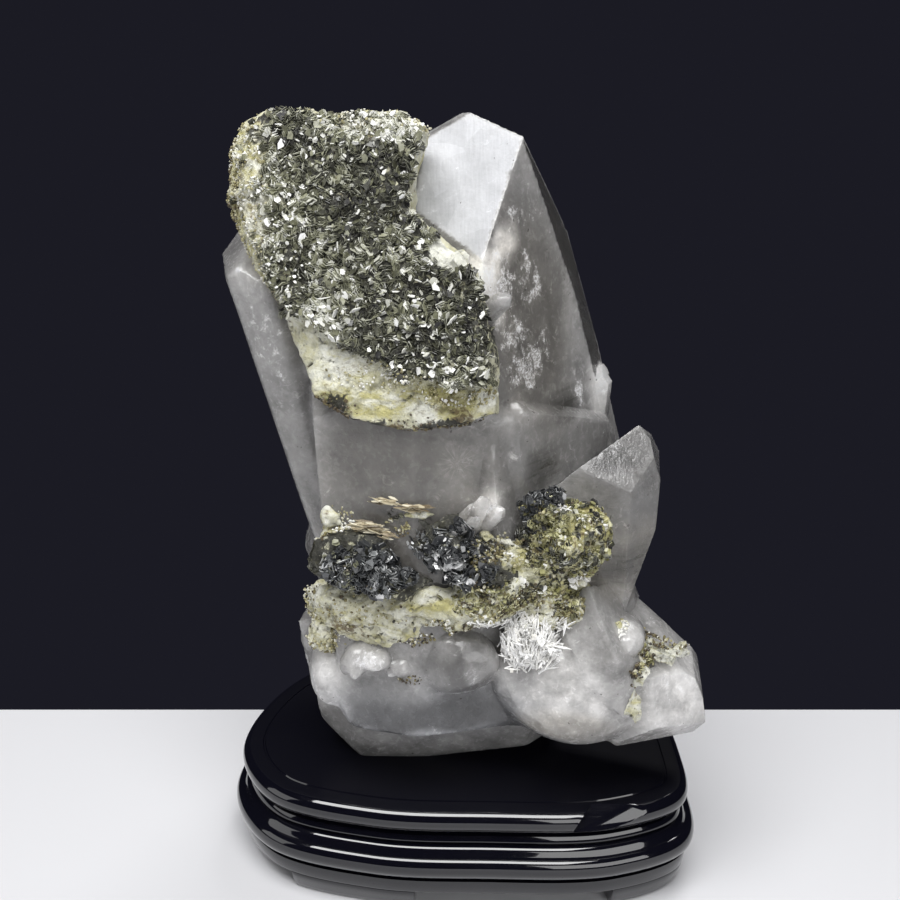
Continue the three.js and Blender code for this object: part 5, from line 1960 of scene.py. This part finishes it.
    def _albite(self) -> None:
        """Make the sprays of albite blades on their heart."""
        heart = covered(frame["nodes"]["albite_spray"], "albite_heart", Grid.ROUND, self.cell)
        random = np.random.default_rng(51)
        places = heart.places()
        heart.smooth(np.full(len(places), 0.6), 30)
        heart.push(rough_noise(places, 3 * MM, 52, 3) * 0.6 * MM - 0.9 * MM)
        heart.paint("tone", np.clip(0.6 + 0.4 * rough_noise(places, 3 * MM, 53, 3), 0, 1))
        heart.paint("rim", np.zeros(len(places)))
        heart.shade(60)
        finish = FINISHES[Mineral.ALBITE]
        heart.mesh.materials.append(finish.made())
        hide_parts("albite_spray")
        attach(heart.thing, "root")
        blades = Bed("albite_blades", finish)
        ground = Ground(("albite_spray", "quartz_cluster", "lower_feldspar"), 0.45 * MM, 54)
        for fan in self.fans:
            spots, outward = ground.pick(fan.zone, fan.count, random)
            count = len(spots)
            along = unit(spots - place(*fan.root) + random.normal(0, 0.7 * MM, (count, 3)))
            rise = (along * outward).sum(axis=1, keepdims=True)
            along -= outward * rise * random.uniform(0.3, 1.0, (count, 1))
            flats = outward + random.normal(0, 0.5, (count, 3))
            half = random.uniform(fan.least, fan.most, count) * MM
            wide = random.uniform(0.2, 0.6, count) * MM
            tones = np.clip(random.normal(0.86, 0.14, count), 0, 1)
            raised = spots + outward * random.uniform(0.0, 0.7, (count, 1)) * MM
            blades.add_plates(raised, flats, along, half, wide, self.blade_thickness, tones, random)
        blades.build()


def closed_curve(points: Sequence[tuple[float, float]], steps: int) -> tuple[np.ndarray, np.ndarray]:
    """Return even places and outward directions round a centripetal Catmull-Rom curve through the points.

    Args:
        points: Its points in plan.
        steps: How many places.

    Returns:
        The places and the directions, each with one row a step.
    """
    corners = np.array(points, dtype=float)
    count = len(corners)
    fine = []
    for i in range(count):
        p = [corners[(i + k - 1) % count] for k in range(4)]
        strides = [np.sqrt(np.linalg.norm(p[k + 1] - p[k])) for k in range(3)]
        u = np.concatenate([[0.0], np.cumsum(strides)])
        t = np.linspace(u[1], u[2], 48, endpoint=False)[:, None]
        a = [((u[k + 1] - t) * p[k] + (t - u[k]) * p[k + 1]) / (u[k + 1] - u[k]) for k in range(3)]
        b = [((u[k + 2] - t) * a[k] + (t - u[k]) * a[k + 1]) / (u[k + 2] - u[k]) for k in range(2)]
        fine.append(((u[2] - t) * b[0] + (t - u[1]) * b[1]) / (u[2] - u[1]))
    line = np.concatenate(fine)
    reach = np.linalg.norm(np.roll(line, -1, axis=0) - line, axis=1)
    length = np.concatenate([[0.0], np.cumsum(reach)])
    wanted = np.linspace(0, length[-1], steps, endpoint=False)
    closed = np.vstack([line, line[:1]])
    places = np.stack([np.interp(wanted, length, closed[:, k]) for k in range(2)], axis=1)
    tangent = unit(np.roll(places, -1, axis=0) - np.roll(places, 1, axis=0))
    return places, np.stack([tangent[:, 1], -tangent[:, 0]], axis=1)


def loft(name: str, rings: np.ndarray, closed: bool) -> Thing:
    """Return a closed body through rings of points.

    Args:
        name: The new object's name.
        rings: Ring by ring, point by point, in metres.
        closed: Whether the last ring joins the first, as on a frame; otherwise both ends get a cap.

    Returns:
        The object.
    """
    count, around = rings.shape[:2]
    places = rings.reshape(-1, 3)
    faces = []
    for ring in range(count if closed else count - 1):
        after = (ring + 1) % count
        for i in range(around):
            j = (i + 1) % around
            faces.append([ring * around + i, ring * around + j, after * around + j, after * around + i])
    if not closed:
        faces.append(list(range(around))[::-1])
        faces.append([(count - 1) * around + i for i in range(around)])
    thing = mesh_object(name, places, faces)
    shape = bmesh.new()
    shape.from_mesh(thing.data)
    bmesh.ops.recalc_face_normals(shape, faces=shape.faces)
    shape.to_mesh(thing.data)
    shape.free()
    return thing


@dataclass
class Stand:
    """The carved black stand and its bracket feet."""

    outline: tuple[tuple[float, float], ...] = (
        (-80, -9), (-66, -36), (-32, -48.5), (5, -51), (48, -49.5), (73, -37), (76.5, -12), (70, 22),
        (44, 46), (0, 54), (-43, 50), (-69, 28),
    )
    plate_top: float = 38.0
    foot_height: float = 8.0
    joint_gap: float = 0.3
    foot_depth: float = 13.0
    around: int = 200
    foot_steps: int = 400
    foot_edge: float = 0.4
    upward: float = 0.98
    plate_floor: float = 0.03
    carving_foot: Triple = (30.4, -50.4, 28.9)
    carving_rise: float = 45.0
    carving_slant: float = 35.0
    feet: tuple[tuple[str, float, float], ...] = (
        ("front_left", 0.09, 0.19),
        ("front_right", 0.34, 0.45),
        ("back_right", 0.6, 0.71),
        ("back_left", 0.85, 0.96),
    )

    def build(self) -> None:
        """Make the stand and its feet."""
        lacquer = LacquerFinish().made()
        self._body(lacquer)
        for name, start, end in self.feet:
            self._foot(name, start, end, lacquer)

    @staticmethod
    def _bead(top: float, bottom: float, reach: float, inset: float) -> list[tuple[float, float]]:
        """Return a half-round moulding as insets and heights, from the top down.

        Args:
            top: Its upper edge's height.
            bottom: Its lower edge's height.
            reach: How far it stands out.
            inset: How far its nose lies inside the outline.

        Returns:
            The insets and heights, in millimetres.
        """
        steps = 12
        middle = (top + bottom) / 2
        turns = [math.pi * k / steps for k in range(steps + 1)]
        return [(inset + reach * (1 - math.sin(t)), middle + (top - middle) * math.cos(t)) for t in turns]

    def _profile(self) -> list[tuple[float, float]]:
        """Return the stand's side as insets and heights, from inside the plate down to the underside."""
        top = self.plate_top
        scribed = [(16.0, top), (11.2, top), (10.9, top - 0.35), (10.5, top - 0.35), (10.2, top)]
        waist = [(8.2, 29.6), (8.2, 28.6), (7.2, 28.5), (6.1, 28.2), (5.5, 27.4), (5.2, 26.4), (6.6, 25.9)]
        fillet = [(6.6, 24.9), (5.5, 24.8), (4.6, 24.4), (3.9, 23.6), (3.4, 22.6)]
        base = [(4.2, 13.9), (4.2, 13.2), (2.3, 12.9), (2.2, 12.6), (2.5, self.foot_height + 0.6)]
        under = [(2.7, self.foot_height), (16.0, self.foot_height)]
        beads = self._bead(top, 30.2, 3.6, 3.2), self._bead(22.2, 14.4, 3.0, 0.0)
        return [*scribed, *beads[0], *waist, *fillet, *beads[1], *base, *under]

    def _body(self, lacquer: bpy.types.Material) -> None:
        """Make the stand's body, carved at its front right corner."""
        at, out = closed_curve(self.outline, self.around)
        rings = []
        for inset, height in self._profile():
            flat = at - out * inset
            ring = np.column_stack([flat, np.full(self.around, height)])
            rings.append((ring + MARK) * MM)
        body = loft("stand_body", np.array(rings), False)
        self._carve(body)
        skin = Skin(body)
        faces = skin.mesh.polygons
        flat = [face.normal.z > self.upward and face.center.z > self.plate_floor for face in faces]
        skin.paint("flat", np.array(flat), "FACE")
        skin.shade(32)
        skin.mesh.materials.append(lacquer)
        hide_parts("stand")
        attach(body, "root")

    def _carve(self, body: Thing) -> None:
        """Cut the flat at the plate's front right corner."""
        out = Vector(facing(0, self.carving_rise))
        right = Matrix.Rotation(-math.radians(self.carving_slant), 3, out) @ Vector((1, 0, 0))
        turn = Matrix((right, out, right.cross(out))).transposed().to_4x4()
        size = 80 * MM
        block = bmesh.new()
        bmesh.ops.create_cube(block, size=size)
        bmesh.ops.translate(block, vec=(size / 2, size / 2, 0), verts=block.verts)
        move = Matrix.Translation(Vector(place(*self.carving_foot)))
        bmesh.ops.transform(block, matrix=move @ turn, verts=block.verts)
        combine(body, [mesh_of(block, "carving")], "DIFFERENCE")

    def _foot(self, name: str, start: float, end: float, lacquer: bpy.types.Material) -> None:
        """Make one bracket foot along the outline.

        Args:
            name: The foot's place.
            start: Where it starts, as a share of the outline.
            end: Where it ends.
            lacquer: Its material.
        """
        steps = self.foot_steps
        at, out = closed_curve(self.outline, steps)
        top = self.foot_height - self.joint_gap
        section = [(2.8, top), (2.9, 6.4), (3.3, 5.0), (4.2, 2.4), (5.0, 0.5), (5.4, 0.0)]
        section += [(self.foot_depth - 0.6, 0.0), (self.foot_depth, 0.6), (self.foot_depth + 3, top)]
        rings = []
        for k in range(int(start * steps), int(end * steps) + 1, 2):
            ring = [[*(at[k] - out[k] * inset), height] for inset, height in section]
            rings.append((np.array(ring) + MARK) * MM)
        foot = loft(f"bracket_foot_{name}", np.array(rings), False)
        bevel = foot.modifiers.new("edge", "BEVEL")
        bevel.width = self.foot_edge * MM
        bevel.segments = 2
        bevel.angle_limit = math.radians(50)
        apply_modifiers(foot)
        skin = Skin(foot)
        skin.shade(35)
        skin.mesh.materials.append(lacquer)
        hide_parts(f"stand_foot_{name}")
        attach(foot, "root")


@dataclass(frozen=True)
class Lamp:
    """A soft rectangular light: its place, its aim and its size, in metres, and its power in watts."""

    name: str
    at: Triple
    aim: Triple
    size: tuple[float, float]
    power: float

    def build(self) -> None:
        """Add it to the scene."""
        data = bpy.data.lights.new(self.name, "AREA")
        data.shape = "RECTANGLE"
        data.size, data.size_y = self.size
        data.energy = self.power
        light = linked(self.name, data)
        light.location = self.at
        light.rotation_euler = (Vector(self.aim) - Vector(self.at)).to_track_quat("-Z", "Y").to_euler()


@dataclass
class Studio:
    """The pale board, the soft lights and the camera."""

    camera_place: Triple = (-5.5, -350.6, 289.6)
    pitch: float = 22.7
    lens: float = 48.0
    board_front: float = -0.7
    board_back: float = 0.0635
    board_half_width: float = 0.55
    board_thickness: float = 0.004
    surround: tuple[float, float, float, float] = (0.011, 0.011, 0.017, 1.0)
    lamps: tuple[Lamp, ...] = (
        Lamp("overhead", (-0.12, -0.34, 0.95), (0, 0, 0.1), (0.75, 0.46), 10.2),
        Lamp("front_fill", (0.45, -0.95, 0.5), (0, 0, 0.12), (0.8, 0.6), 4.4),
        Lamp("left_fill", (-0.85, -0.3, 0.4), (0, 0, 0.12), (0.5, 0.6), 1.2),
        Lamp("back_fill", (0.35, 0.5, 1.1), (0, 0, 0.1), (0.4, 0.4), 4.0),
    )

    def build(self) -> None:
        """Make them all."""
        scene = bpy.context.scene
        scene.view_settings.view_transform = "Standard"
        world = bpy.data.worlds.new("studio")
        world.use_nodes = True
        world.node_tree.nodes["Background"].inputs[0].default_value = self.surround
        scene.world = world
        self._board()
        for lamp in self.lamps:
            lamp.build()
        data = bpy.data.cameras.new("photo_view")
        data.lens = self.lens
        data.sensor_width = 36.0
        camera = linked("photo_view", data)
        camera.location = place(*self.camera_place)
        camera.rotation_euler = (math.radians(90 - self.pitch), 0, 0)
        scene.camera = camera

    def _board(self) -> None:
        """Make the board that the stand is on."""
        half = self.board_half_width
        front, back = self.board_front, self.board_back
        low = -self.board_thickness
        corners = [(-half, front), (half, front), (half, back), (-half, back)]
        places = np.array([[x, y, z] for z in (low, 0.0) for x, y in corners])
        faces = [[3, 2, 1, 0], [4, 5, 6, 7], [0, 1, 5, 4], [1, 2, 6, 5], [2, 3, 7, 6], [3, 0, 4, 7]]
        board = mesh_object("board", places, faces)
        board.data.materials.append(FloorFinish().made())


def main() -> None:
    """Build the studio and every sub-assembly, and report the pieces."""
    logging.basicConfig(level=logging.INFO, format="%(name)s: %(message)s")
    Studio().build()
    for part in (Stand(), QuartzCluster(), Slab(), Belt()):
        part.build()
        LOG.info("built %s", type(part).__name__)
    for thing in bpy.data.objects:
        if thing.type == "MESH" and not thing.hide_render:
            LOG.info("%s: %d faces", thing.name, len(thing.data.polygons))


if __name__ == "__main__":
    main()
